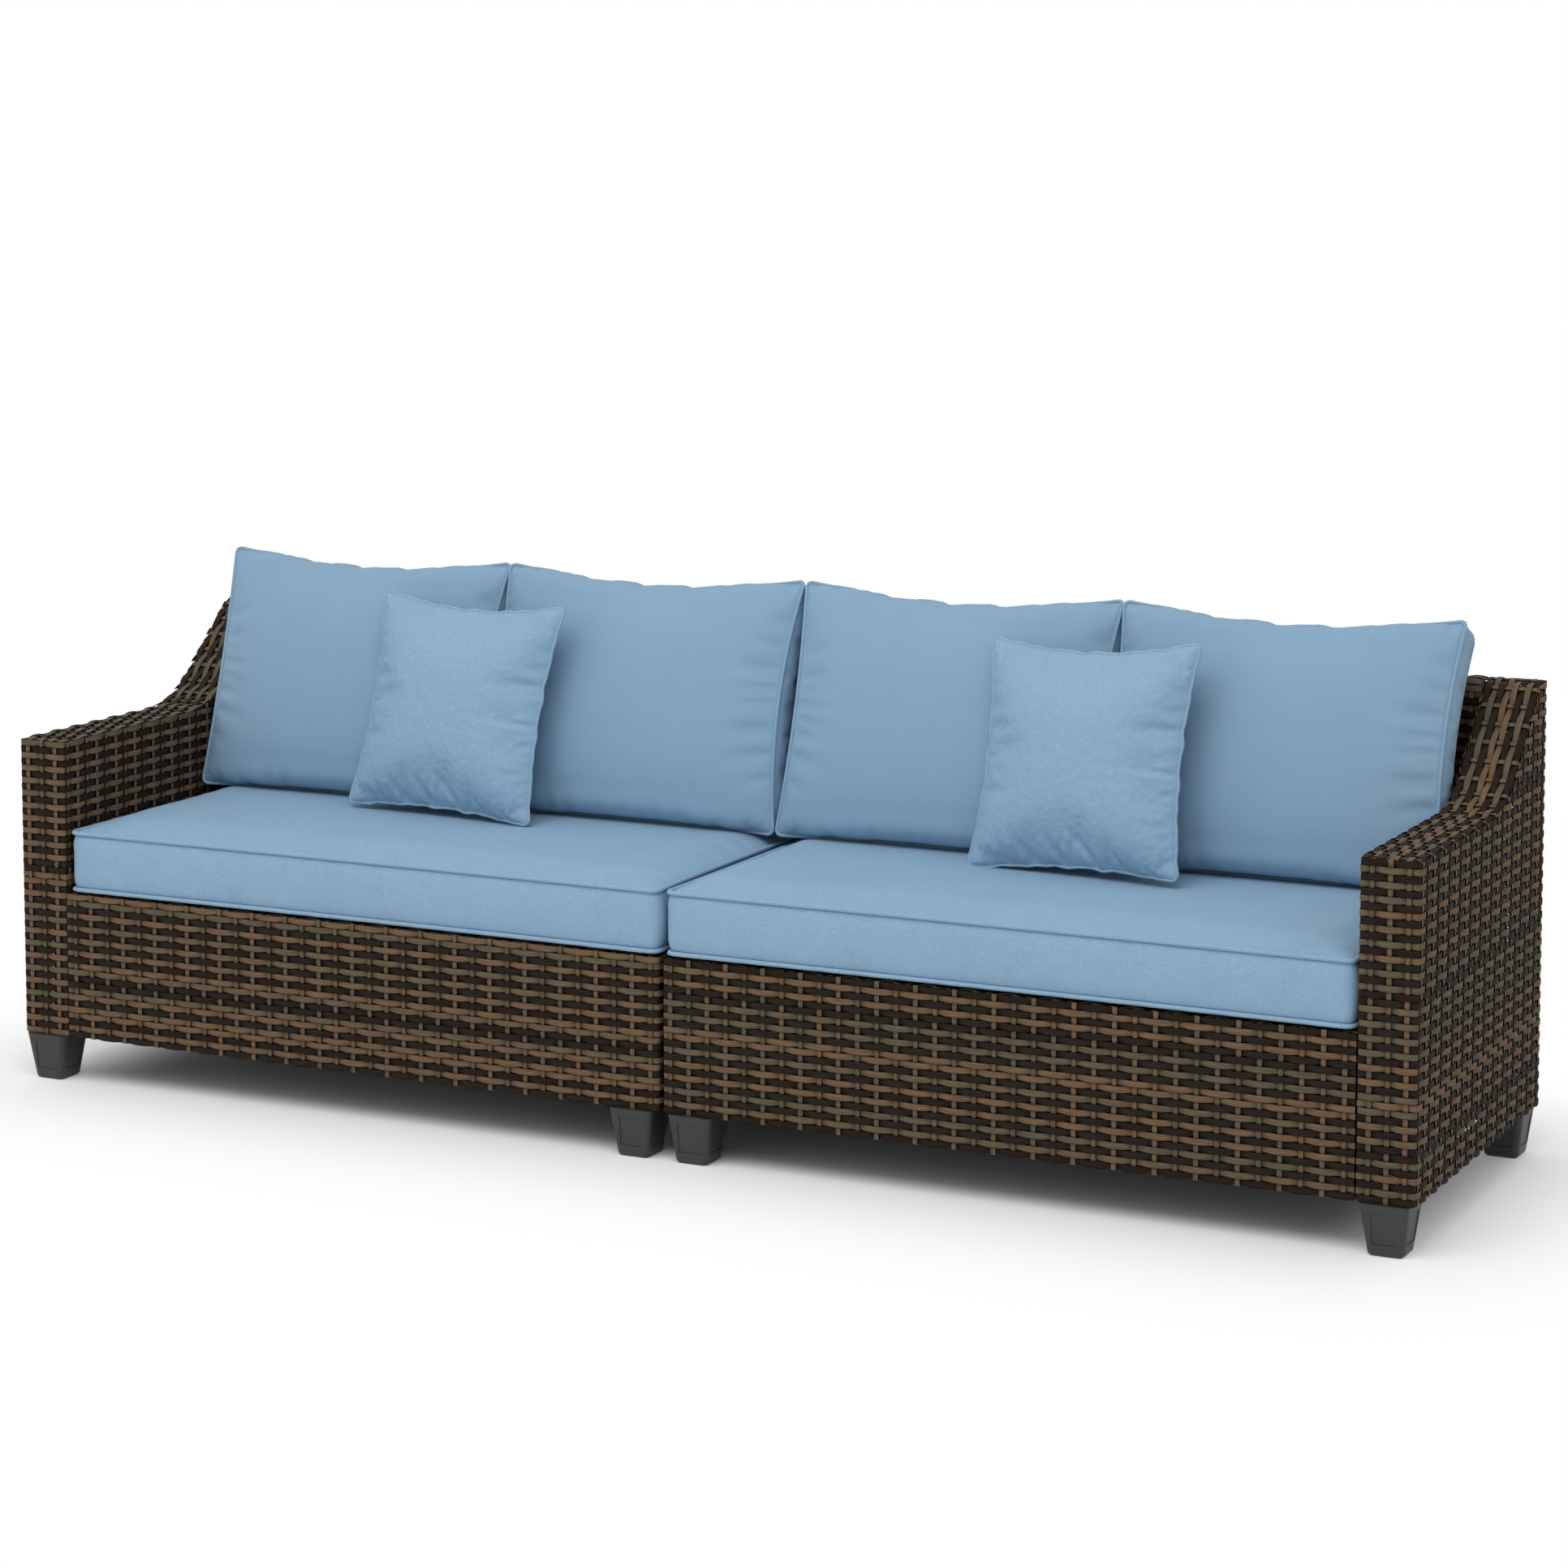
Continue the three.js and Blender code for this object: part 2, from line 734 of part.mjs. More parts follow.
for (const [word, side] of [["left", -1], ["right", 1]]) {
  const handed = (geometry) => (side < 0 ? mirrored(geometry) : geometry);
  add(`${word}_base_frame`, handed(baseFrame()), powderCoat());
  add(`${word}_arm_frame`, handed(armFrame()), powderCoat());
  add(`${word}_back_frame`, handed(backFrame()), powderCoat());
  add(`${word}_base_weave`, handed(baseWeave()), rattan());
  add(`${word}_arm_weave`, handed(armWeave()), rattan());
  add(`${word}_back_weave`, handed(backWeave()), rattan());
  add(`${word}_seat_deck`, handed(seatDeck()), rattan());
  for (const [end, x] of [["inner", footFromSeam], ["outer", outerFoot]]) {
    for (const [row, y] of [["front", -footCentre], ["rear", footCentre]]) {
      add(`${word}_${end}_${row}_foot`, foot().translate(side * x, y, 0), footPlastic());
      const bolt = footBolt().translate(side * x, y, 0);
      add(`${word}_${end}_${row}_foot_bolt`, bolt, zincSteel());
    }
  }
  for (const [place, [y, z]] of Object.entries(armBolts)) {
    add(`${word}_arm_bolt_${place}`, handed(armBolt(y, z)), zincSteel());
  }
  for (const [place, x] of Object.entries(backBolts)) {
    add(`${word}_back_bolt_${place}`, handed(backBolt(x)), zincSteel());
  }
  add(`${word}_seat_cushion`, handed(seatCushion()), fabric());
  add(`${word}_inner_back_cushion`, handed(backCushion(0)), fabric());
  add(`${word}_outer_back_cushion`, handed(backCushion(1)), fabric());
  add(`${word}_throw_pillow`, throwPillow(pillows[word]), fabric());
}

export default sofa;
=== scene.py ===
import math
import random

import bmesh
import bpy
import numpy as np
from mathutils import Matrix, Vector


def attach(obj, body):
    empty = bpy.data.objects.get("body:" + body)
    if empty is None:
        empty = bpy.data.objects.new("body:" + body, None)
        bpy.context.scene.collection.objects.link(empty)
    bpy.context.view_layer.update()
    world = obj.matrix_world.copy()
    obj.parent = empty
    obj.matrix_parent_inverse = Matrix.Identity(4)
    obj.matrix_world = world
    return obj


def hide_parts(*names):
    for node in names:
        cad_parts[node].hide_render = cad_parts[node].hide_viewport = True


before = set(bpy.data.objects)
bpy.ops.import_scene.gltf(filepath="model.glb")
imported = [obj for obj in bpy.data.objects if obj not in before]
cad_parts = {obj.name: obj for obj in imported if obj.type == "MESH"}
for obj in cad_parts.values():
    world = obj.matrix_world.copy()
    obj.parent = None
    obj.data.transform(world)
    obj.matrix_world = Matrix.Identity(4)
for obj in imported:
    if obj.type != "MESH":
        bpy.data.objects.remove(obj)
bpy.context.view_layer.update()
scene = bpy.context.scene
SIDES = (("left", -1), ("right", 1))

# The frames are square steel tube, welded, blasted and powder coated near black before they are
# woven over. The coat flows a little as it bakes, which leaves a fine orange peel and a satin gloss.
# They show only between strands, from below and where a cushion is lifted off.


def to_linear(hex_color):
    channels = [int(hex_color[place:place + 2], 16) / 255 for place in (1, 3, 5)]
    linear = [c / 12.92 if c <= 0.04045 else ((c + 0.055) / 1.055) ** 2.4 for c in channels]
    return (*linear, 1.0)


def add_node(material, kind, settings=None, links=None):
    """Adds a shader node, sets its properties or inputs, and links inputs to other outputs."""
    tree = material.node_tree
    node = tree.nodes.new(kind)
    for name, value in (settings or {}).items():
        if isinstance(name, str) and hasattr(node, name):
            setattr(node, name, value)
        else:
            node.inputs[name].default_value = value
    for name, output in (links or {}).items():
        tree.links.new(output, node.inputs[name])
    return node


def new_material(name, hex_color, roughness, metallic=0.0):
    material = bpy.data.materials.new(name)
    material.use_nodes = True
    shader = material.node_tree.nodes["Principled BSDF"]
    shader.inputs["Base Color"].default_value = to_linear(hex_color)
    shader.inputs["Roughness"].default_value = roughness
    shader.inputs["Metallic"].default_value = metallic
    return material, shader


def finish_nodes(material, names):
    for name in names:
        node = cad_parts[name]
        node.data.materials.clear()
        node.data.materials.append(material)


def grain(material, size, detail):
    """A noise all over a piece, of one grain size in metres."""
    place = add_node(material, "ShaderNodeTexCoord")
    return add_node(
        material, "ShaderNodeTexNoise", {"Scale": 1 / size, "Detail": detail},
        {"Vector": place.outputs["Object"]},
    )


def grain_bump(material, shader, size, detail, strength, depth):
    bump = add_node(
        material, "ShaderNodeBump", {"Strength": strength, "Distance": depth},
        {"Height": grain(material, size, detail).outputs["Fac"]},
    )
    material.node_tree.links.new(bump.outputs["Normal"], shader.inputs["Normal"])


powder_coat, coat_shader = new_material("powder_coat", "#242322", 0.42)
grain_bump(powder_coat, coat_shader, size=0.0012, detail=2.0, strength=0.25, depth=0.0002)
finish_nodes(
    powder_coat,
    [f"{word}_{part}_frame" for word, _ in SIDES for part in ("base", "arm", "back")],
)

# The bolts are M6 hexagon bolts of zinc plated steel. The plating is bright with a faint cloudy
# grain, and they sit in the feet's bores and inside the frames.

zinc_steel, zinc_shader = new_material("zinc_plated_steel", "#a9adb0", 0.34, 1.0)
cloudy = add_node(
    zinc_steel, "ShaderNodeMapRange", {"To Min": 0.28, "To Max": 0.42},
    {"Value": grain(zinc_steel, size=0.003, detail=3.0).outputs["Fac"]},
)
zinc_steel.node_tree.links.new(cloudy.outputs["Result"], zinc_shader.inputs["Roughness"])
finish_nodes(zinc_steel, [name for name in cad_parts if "bolt" in name])

# The feet are injection moulded polypropylene, dark grey through and through, tapered, with a
# shallow panel in each side. The mould's spark texture gives them a satin face. Its real grain,
# about 0.2 mm, is too fine to show and is drawn at 0.8 mm.

foot_plastic, foot_shader = new_material("moulded_polypropylene", "#2e2f30", 0.5)
grain_bump(foot_plastic, foot_shader, size=0.0008, detail=3.0, strength=0.2, depth=0.0001)
finish_nodes(foot_plastic, [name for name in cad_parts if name.endswith("_foot")])

# The skins are woven by hand over the frames from flat strand of extruded polyethylene, a light and
# a dark brown for the rows and light for the stakes that they cross. The die leaves fine grooves
# along a strand, and each batch of strand has its own hue. Every second row runs over a stake.

skin_depth = 0.00275
strand_thickness = 0.0011
strand_dome = 0.0004
row_width = 0.0104
row_pitch = 0.01052
row_bend = 0.0023
row_pinch = 0.16
corner_reach, corner_calm = 0.012, 0.4
row_steps = (0.16, 0.39, 0.61, 0.84)
stake_width = 0.0087
stake_bend = 0.0006
stake_pitch = 0.032
stake_steps, loop_steps = (0.0,), (0.0, 0.5)
crossing_flatness = 1.25
double_row_chance = 0.09
sharp_bend, close_bend, wide_bend = 0.0022, 0.00425, 0.00625
tight_bend, arc_step, bend_margin = 0.02, 0.012, 0.001
merge_reach, crease_angle = 0.00001, math.radians(50)
front_face, rear_face = -0.3245, 0.3245
seam_face, arm_inner, arm_outer = -0.0015, -1.1085, -1.2
bottom_edge, deck_height, arm_height, back_height = 0.077, 0.319, 0.573, 0.742
row_margin = 0.0002
groove_pitch = 0.0025
streak_length = 0.03
batch_spacing = 91.0

rattan, rattan_shader = new_material("extruded_polyethylene_strand", "#6b5a49", 0.6)
rattan_shader.inputs["Specular IOR Level"].default_value = 0.08
strand = add_node(rattan, "ShaderNodeAttribute", {"attribute_name": "strand"})
tone = add_node(rattan, "ShaderNodeAttribute", {"attribute_name": "tone"})
parts = add_node(rattan, "ShaderNodeSeparateXYZ", links={"Vector": strand.outputs["Vector"]})
along = add_node(
    rattan, "ShaderNodeMath", {"operation": "MULTIPLY", 1: 1 / streak_length},
    {0: parts.outputs["X"]},
)
across = add_node(
    rattan, "ShaderNodeMath", {"operation": "MULTIPLY", 1: row_width / 2 / groove_pitch},
    {0: parts.outputs["Y"]},
)
batch = add_node(
    rattan, "ShaderNodeMath", {"operation": "MULTIPLY", 1: batch_spacing},
    {0: parts.outputs["Z"]},
)
groove_place = add_node(
    rattan, "ShaderNodeCombineXYZ",
    links={"X": along.outputs[0], "Y": across.outputs[0], "Z": batch.outputs[0]},
)
grooves = add_node(
    rattan, "ShaderNodeTexNoise", {"Scale": 1.0, "Detail": 3.0, "Roughness": 0.65},
    {"Vector": groove_place.outputs["Vector"]},
)
hue_share = add_node(
    rattan, "ShaderNodeMapRange", {"From Min": 0.3, "From Max": 0.7},
    {"Value": parts.outputs["Z"]},
)
light_hue = add_node(
    rattan, "ShaderNodeMix",
    {"data_type": "RGBA", 6: to_linear("#79604b"), 7: to_linear("#665d4a")},
    {0: hue_share.outputs["Result"]},
)
dark_hue = add_node(
    rattan, "ShaderNodeMix",
    {"data_type": "RGBA", 6: to_linear("#291e17"), 7: to_linear("#2c241d")},
    {0: hue_share.outputs["Result"]},
)
two_tone = add_node(
    rattan, "ShaderNodeMix", {"data_type": "RGBA"},
    {0: tone.outputs["Fac"], 6: dark_hue.outputs[2], 7: light_hue.outputs[2]},
)
rib_place = add_node(
    rattan, "ShaderNodeMath", {"operation": "MULTIPLY_ADD", 1: 2 * math.pi},
    {0: across.outputs[0], 2: grooves.outputs["Fac"]},
)
ribs = add_node(rattan, "ShaderNodeMath", {"operation": "COSINE"}, {0: rib_place.outputs[0]})
# The colour darkens in the ribs' troughs, where the bump draws the grooves: painted shade in the
# grooves. The lengthwise streaks are the strand's own tone.
groove_shade = add_node(
    rattan, "ShaderNodeMapRange",
    {"From Min": -1.0, "From Max": -0.2, "To Min": 0.5, "To Max": 1.0},
    {"Value": ribs.outputs[0]},
)
streak_shade = add_node(
    rattan, "ShaderNodeMapRange",
    {"From Min": 0.34, "From Max": 0.62, "To Min": 0.72, "To Max": 1.08},
    {"Value": grooves.outputs["Fac"]},
)
lengthwise_shade = add_node(
    rattan, "ShaderNodeMath", {"operation": "MULTIPLY"},
    {0: groove_shade.outputs["Result"], 1: streak_shade.outputs["Result"]},
)
# The colour falls to near black towards each strand's edges: painted shade, for the shadow in the
# gaps between strands.
edge_distance = add_node(
    rattan, "ShaderNodeMath", {"operation": "ABSOLUTE"}, {0: parts.outputs["Y"]},
)
edge_painted_shade = add_node(
    rattan, "ShaderNodeMapRange", {"From Min": 0.74, "To Min": 1.0, "To Max": 0.06},
    {"Value": edge_distance.outputs[0]},
)
streaks_and_painted_shade = add_node(
    rattan, "ShaderNodeMath", {"operation": "MULTIPLY"},
    {0: lengthwise_shade.outputs[0], 1: edge_painted_shade.outputs["Result"]},
)
strand_colour = add_node(
    rattan, "ShaderNodeMix", {"data_type": "RGBA", "blend_type": "MULTIPLY", 0: 1.0},
    {6: two_tone.outputs[2], 7: streaks_and_painted_shade.outputs[0]},
)
groove_bump = add_node(
    rattan, "ShaderNodeBump", {"Strength": 0.5, "Distance": 0.0003},
    {"Height": ribs.outputs[0]},
)
rattan.node_tree.links.new(strand_colour.outputs[2], rattan_shader.inputs["Base Color"])
rattan.node_tree.links.new(groove_bump.outputs["Normal"], rattan_shader.inputs["Normal"])


def bent_path(corners, bends, side=1):
    """A line with round corners: its length so far, places, normals on its right, tight corners."""
    places, spans = [Vector(corners[0])], []
    for before, corner, after, bend in zip(corners, corners[1:], corners[2:], bends):
        corner = Vector(corner)
        back = (Vector(before) - corner).normalized()
        onward = (Vector(after) - corner).normalized()
        half_angle = back.angle(onward) / 2
        middle = corner + (back + onward).normalized() * bend / math.sin(half_angle)
        start = corner + back * bend / math.tan(half_angle) - middle
        end = corner + onward * bend / math.tan(half_angle) - middle
        turns = max(4, round(bend * (math.pi - 2 * half_angle) / arc_step))
        spans.append((len(places), len(places) + turns, bend))
        for turn in range(turns + 1):
            places.append(middle + start.slerp(end, turn / turns, start).normalized() * bend)
    places.append(Vector(corners[-1]))
    spots = np.array([tuple(spot) for spot in places])
    length = np.concatenate([[0], np.cumsum(np.linalg.norm(np.diff(spots, axis=0), axis=1))])
    ahead = np.gradient(spots, length, axis=0)
    for first, last, _ in spans:
        ahead[first] = spots[first] - spots[first - 1]
        ahead[last] = spots[last + 1] - spots[last]
    ahead /= np.linalg.norm(ahead, axis=1, keepdims=True)
    normals = side * np.stack([ahead[:, 1], -ahead[:, 0]], axis=1)
    tight = [length[first:last + 1] for first, last, bend in spans if bend < tight_bend]
    return length, spots, normals, tight


def on_path(path, run):
    length, spots, normals, _ = path
    spot = np.stack([np.interp(run, length, spots[:, axis]) for axis in (0, 1)], axis=-1)
    normal = np.stack([np.interp(run, length, normals[:, axis]) for axis in (0, 1)], axis=-1)
    return spot, normal / np.linalg.norm(normal, axis=-1, keepdims=True)


def upright(plan):
    """A wall over a path in plan. Its coordinates are the run along the path and the height."""
    def surface(run, height):
        spot, normal = on_path(plan, run)
        place = np.stack([spot[..., 0], spot[..., 1], height], axis=-1)
        return place, np.stack([normal[..., 0], normal[..., 1], 0 * height], axis=-1)
    return surface


def capping(profile, section, order):
    """A strip along the top of a wall, bent down its sides. order says which axis is across."""
    def surface(run, across):
        spot, up = on_path(profile, run)
        flat, lean = on_path(section, across)
        place = np.concatenate([flat[..., :1], spot + up * flat[..., 1:]], axis=-1)
        normal = np.concatenate([lean[..., :1], up * lean[..., 1:]], axis=-1)
        return place[..., order], normal[..., order]
    return surface


def crosswise(surface):
    return lambda run, across: surface(-across, run)


def evenly(first, last, pitch, even=False):
    """Places about a pitch apart, the first and last half a pitch from the ends of a stretch."""
    count = round((last - first) / pitch)
    count += even and count % 2
    return first + (np.arange(count) + 0.5) * (last - first) / count


def row_tones(count, known, tone):
    """0 for a dark row and 1 for a light one, in turns, with two alike now and then."""
    tones = [tone]
    while len(tones) < count:
        alike = dice.random() < double_row_chance
        tones.append(tones[-1] if alike else 1 - tones[-1])
    return tones if tones[known] == tone else [1 - other for other in tones]


def as_piece(name, mesh, material, body):
    """Makes a mesh in one material a piece that rides on a body."""
    mesh.materials.append(material)
    piece = bpy.data.objects.new(name, mesh)
    scene.collection.objects.link(piece)
    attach(piece, body)
    return piece


def woven(name, side, surface, lines, crossed, width, bend, turn, tones, shares, tight, limits,
          ends=None):
    """Flat strands along a surface's first coordinate, over and under the places they cross.

    The surface is the left half's, and side 1 mirrors it. limits gives the lowest and highest run
    of each line, where a wall ends in a slope.
    """
    gaps = np.append(np.diff(crossed), crossed[-1] - crossed[-2])
    ends = ends or (crossed[0] - gaps[0] / 2, crossed[-1] + gaps[-1] / 2)
    steps = set(ends)
    for place, gap in zip(crossed, gaps):
        steps |= {place + gap * share for share in shares}
    steps |= {crossed[0] - gaps[0] * share for share in shares}
    steps = [step for step in steps if ends[0] <= step <= ends[1]]
    for span in tight:
        steps = [step for step in steps if not span[0] - bend_margin < step < span[-1] + bend_margin]
        steps += [step for step in span if ends[0] <= step <= ends[1]]
    steps = np.array(sorted(steps))
    strands, sides = len(lines), 3
    places = np.zeros((strands, sides, len(steps), 3))
    inside = np.zeros((strands, len(steps)), bool)
    around = np.concatenate([[crossed[0] - gaps[0]], crossed, [crossed[-1] + gaps[-1]]])
    counts = np.arange(-1, len(crossed) + 1)
    for line in range(sides):
        run = np.repeat(steps[None, :], strands, axis=0)
        if limits:
            low, high = limits(lines + (line - 1) * width / 2)
            inside |= (steps > low[:, None]) & (steps < high[:, None])
            run = np.clip(run, low[:, None], high[:, None])
        phase = np.interp(run, around, counts) + np.arange(strands)[:, None] + turn
        height = np.clip(crossing_flatness * np.cos(math.pi * phase), -1, 1)
        for span in tight:
            apart = np.maximum(span[0] - run, run - span[-1])
            height = height * np.interp(apart, (0, corner_reach), (corner_calm, 1))
        half = (line - 1) * width / 2 * (1 - row_pinch * np.maximum(0, -height))
        spot, out = surface(run, lines[:, None] + half)
        lift = height * bend + strand_dome * (line == 1) + strand_thickness / 2
        places[:, line] = spot + out * lift[..., None]
    shown = inside.copy() if limits else ~inside
    shown[:, 1:] |= inside[:, :-1]
    shown[:, :-1] |= inside[:, 1:]
    if side > 0:
        places = places[:, ::-1] * (-1, 1, 1)
    runs = np.linalg.norm(np.diff(places[:, 1], axis=1), axis=2).cumsum(axis=1)

    bm = bmesh.new()
    bmesh.ops.create_grid(
        bm, x_segments=len(steps) - 1, y_segments=sides * strands - 1, size=1,
    )
    strand_layer = bm.verts.layers.float_vector.new("strand")
    tone_layer = bm.verts.layers.float.new("tone")
    batches = [dice.random() for _ in range(strands)]
    hidden = []
    for vert in bm.verts:
        step = round((vert.co.x + 1) / 2 * (len(steps) - 1))
        vert.index = round((vert.co.y + 1) / 2 * (sides * strands - 1))
        number, line = divmod(vert.index, sides)
        vert.co = places[number, line, step]
        so_far = runs[number, step - 1] if step else 0
        vert[strand_layer] = (so_far, line - 1, batches[number])
        vert[tone_layer] = tones[number]
        if not shown[number, step]:
            hidden.append(vert)
    between = [f for f in bm.faces if {v.index % sides for v in f.verts} == {0, sides - 1}]
    bmesh.ops.delete(bm, geom=between, context="FACES")
    bmesh.ops.delete(bm, geom=[v for v in hidden if v.is_valid], context="VERTS")
    bmesh.ops.remove_doubles(bm, verts=bm.verts[:], dist=merge_reach)
    bmesh.ops.solidify(bm, geom=bm.faces[:], thickness=strand_thickness)
    mesh = bpy.data.meshes.new(name)
    bm.to_mesh(mesh)
    bm.free()
    mesh.polygons.foreach_set("use_smooth", [True] * len(mesh.polygons))
    mesh.set_sharp_from_angle(angle=crease_angle)
    piece = as_piece(name, mesh, rattan, f"{SIDES[side > 0][0]}_module")
    return piece


def skin(part, side, name, surface, rows, stakes, tones, turn=0, tight=(), limits=(None, None),
         ends=(None, None)):
    """The rows and the stakes of one woven surface, which stand for a part's skin."""
    word = SIDES[side > 0][0]
    rows_piece = woven(
        f"{word}_{name}_rows", side, surface, rows, stakes, row_width, row_bend, turn, tones,
        row_steps, tight, limits[0], ends[0],
    )
    stakes_piece = woven(
        f"{word}_{name}_stakes", side, crosswise(surface), -stakes, rows, stake_width,
        stake_bend, turn + 1, [1] * len(stakes), stake_steps, (), limits[1], ends[1],
    )
    for piece in (rows_piece, stakes_piece):
        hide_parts(f"{word}_{part}")


dice = random.Random(7)
in_front, in_rear = front_face + skin_depth, rear_face - skin_depth

# The base's skin runs round its front, its seam end and its rear, and stops at the arm.
base_end = seam_face - skin_depth
base_plan = bent_path(
    [(arm_inner, in_front), (base_end, in_front), (base_end, in_rear), (arm_inner, in_rear)],
    [wide_bend] * 2,
)
base_rows = evenly(bottom_edge + row_margin, deck_height - row_margin, row_pitch)
base_stakes = evenly(0, base_plan[0][-1], stake_pitch, even=True)
for _, side in SIDES:
    skin(
        "base_weave", side, "base", upright(base_plan), base_rows, base_stakes,
        row_tones(len(base_rows), len(base_rows) - 1, side < 0), tight=base_plan[3],
    )

# The arm's skin is closed round its upright edges. Above its level part the rows end at the sweep,
# and a strip of lengthwise strands covers its top, from the rear over the crest to the front.
# Every second stake loops over the ends of that strip.
row_seam = 0.060
arm_stake_pitch, arm_strand_pitch = 0.0274, 0.0105
level_rows, sloped_rows = 47, 16
level_margin, slope_margin = 0.0021, 0.0005
row_inset, stake_inset = 0.0019, 0.0055
sweep_start, sweep_radius, sweep_angle = 0.040, 0.170, math.radians(42)
crest_bend, top_turn_down, turn_down_points = 0.052, 0.012, 6
top_tuck, top_end_inset, cross_reach, side_drop = 0.0034, 0.0052, 0.0448, 0.008
loop_inset, loop_crossings = 0.007, (0.004, 0.018)
run_samples, same_place = 4000, 0.0001
arm_x, arm_y = (arm_outer + skin_depth, arm_inner - skin_depth), (in_front, in_rear)
arm_start = arm_inner - row_seam
arm_plan = bent_path(
    [(arm_start, arm_y[0]), (arm_x[1], arm_y[0]), (arm_x[1], arm_y[1]), (arm_x[0], arm_y[1]),
     (arm_x[0], arm_y[0]), (arm_start, arm_y[0])],
    [sharp_bend] * 2 + [close_bend] * 2,
)


def arm_top(inset, tuck=0.0):
    """The outline of the arm's top from the rear to the front, drawn in by an inset.

    Its ends turn down into the arm, a tuck behind the skin of its front and rear.
    """
    level, ridge = arm_height - inset, back_height - inset
    front, rear = front_face + skin_depth + tuck, rear_face - skin_depth - tuck
    elbow = sweep_start + (sweep_radius + inset) * math.tan(sweep_angle / 2)
    crest = elbow + (ridge - level) / math.tan(sweep_angle)
    return bent_path(
        [(rear, ridge - top_turn_down), (rear, ridge), (crest, ridge), (elbow, level),
         (front, level), (front, level - top_turn_down)],
        [sharp_bend, crest_bend, sweep_radius + inset, sharp_bend],
    )


def rim_height(inset, y):
    rim = arm_top(inset)[1][::-1][turn_down_points:-turn_down_points]
    return np.interp(y, rim[:, 0], rim[:, 1])


def arm_row_limits(heights):
    run = np.linspace(0, arm_plan[0][-1], run_samples)
    top = rim_height(row_inset, on_path(arm_plan, run)[0][:, 1])
    inside = top[None, :] >= np.minimum(heights, top.max())[:, None]
    return run[inside.argmax(axis=1)], run[len(run) - 1 - inside[:, ::-1].argmax(axis=1)]


def arm_stake_limits(places):
    top = rim_height(stake_inset, on_path(arm_plan, -places)[0][:, 1])
    return 0 * places + bottom_edge, top


arm_rows = evenly(bottom_edge + row_margin, arm_height - level_margin, row_pitch)
first_sloped = arm_rows[-1] + slope_margin
arm_rows = np.append(arm_rows, first_sloped + row_pitch * np.arange(1, sloped_rows + 1))
arm_stakes = evenly(0, arm_plan[0][-1], arm_stake_pitch, even=True)
arm_section = bent_path(
    [(arm_x[0], -side_drop), (arm_x[0], 0), (arm_x[1], 0), (arm_x[1], -side_drop)],
    [sharp_bend] * 2, -1,
)
section_middle = arm_section[0][-1] / 2
arm_strands = section_middle + np.arange(-3.5, 4) * arm_strand_pitch
cross_ends = (section_middle - cross_reach, section_middle + cross_reach)
stake_spots = on_path(arm_plan, arm_stakes)[0]
tucked_profile, open_profile = arm_top(skin_depth, top_tuck), arm_top(skin_depth)
profile_run = np.linspace(0, tucked_profile[0][-1], run_samples)
profile_y = on_path(tucked_profile, profile_run)[0][:, 0]
top_ends = (top_end_inset, tucked_profile[0][-1] - top_end_inset)
for _, side in SIDES:
    skin(
        "arm_weave", side, "arm", upright(arm_plan), arm_rows, arm_stakes,
        row_tones(len(arm_rows), level_rows - 1, side < 0), turn=1, tight=arm_plan[3],
        limits=(arm_row_limits, arm_stake_limits),
    )
    edge_stakes = stake_spots[np.abs(stake_spots[:, 0] - arm_x[side < 0]) < same_place, 1]
    top_stakes = np.interp(np.sort(-edge_stakes), -profile_y, profile_run)
    skin(
        "arm_weave", side, "arm_top", capping(tucked_profile, arm_section, [0, 1, 2]), arm_strands,
        top_stakes, row_tones(len(arm_strands), 0, 0), tight=tucked_profile[3],
        ends=(top_ends, cross_ends),
    )
    for end, wall, top_row in ((0, arm_y[1], len(arm_rows)), (1, arm_y[0], level_rows)):
        outside = (np.arange(len(arm_stakes)) + top_row) % 2 == 1
        outside &= np.abs(stake_spots[:, 1] - wall) < same_place
        loops = stake_spots[outside, 0] - np.mean(arm_x) + section_middle
        start = (loop_inset, open_profile[0][-1] - loop_inset)[end]
        crossings = np.sort(start + (1 - 2 * end) * np.array(loop_crossings))
        piece = woven(
            f"{SIDES[side > 0][0]}_arm_{'front' if end else 'rear'}_loops", side,
            capping(open_profile, arm_section, [0, 1, 2]), loops, crossings, stake_width,
            row_bend, end - np.arange(len(loops))[:, None], [1] * len(loops), loop_steps,
            open_profile[3], None,
        )
        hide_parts(f"{SIDES[side > 0][0]}_arm_weave")

# The back's skin runs round its front, its seam end and its rear, with its own strip on top.
back_thickness, back_turn_down, back_strand_pitch = 0.053, 0.014, 0.0106
back_margins, top_stake_margin = (0.0005, 0.009), 0.002
back_front, back_rear = rear_face - back_thickness + skin_depth, in_rear
back_plan = bent_path(
    [(arm_inner, back_front), (base_end, back_front), (base_end, back_rear),
     (arm_inner, back_rear)],
    [close_bend] * 2,
)
back_rows = evenly(deck_height + back_margins[0], back_height - back_margins[1], row_pitch)
back_stakes = evenly(0, back_plan[0][-1], stake_pitch, even=True)
back_profile = bent_path(
    [(arm_inner, back_height - skin_depth), (base_end, back_height - skin_depth),
     (base_end, back_height - back_turn_down)],
    [close_bend], -1,
)
back_section = bent_path(
    [(back_front, -back_turn_down), (back_front, 0), (back_rear, 0),
     (back_rear, -back_turn_down)],
    [wide_bend] * 2, -1,
)
back_strands = back_section[0][-1] / 2 + np.arange(-2, 3) * back_strand_pitch
back_top_stakes = back_stakes[back_stakes < base_end - arm_inner - top_stake_margin]
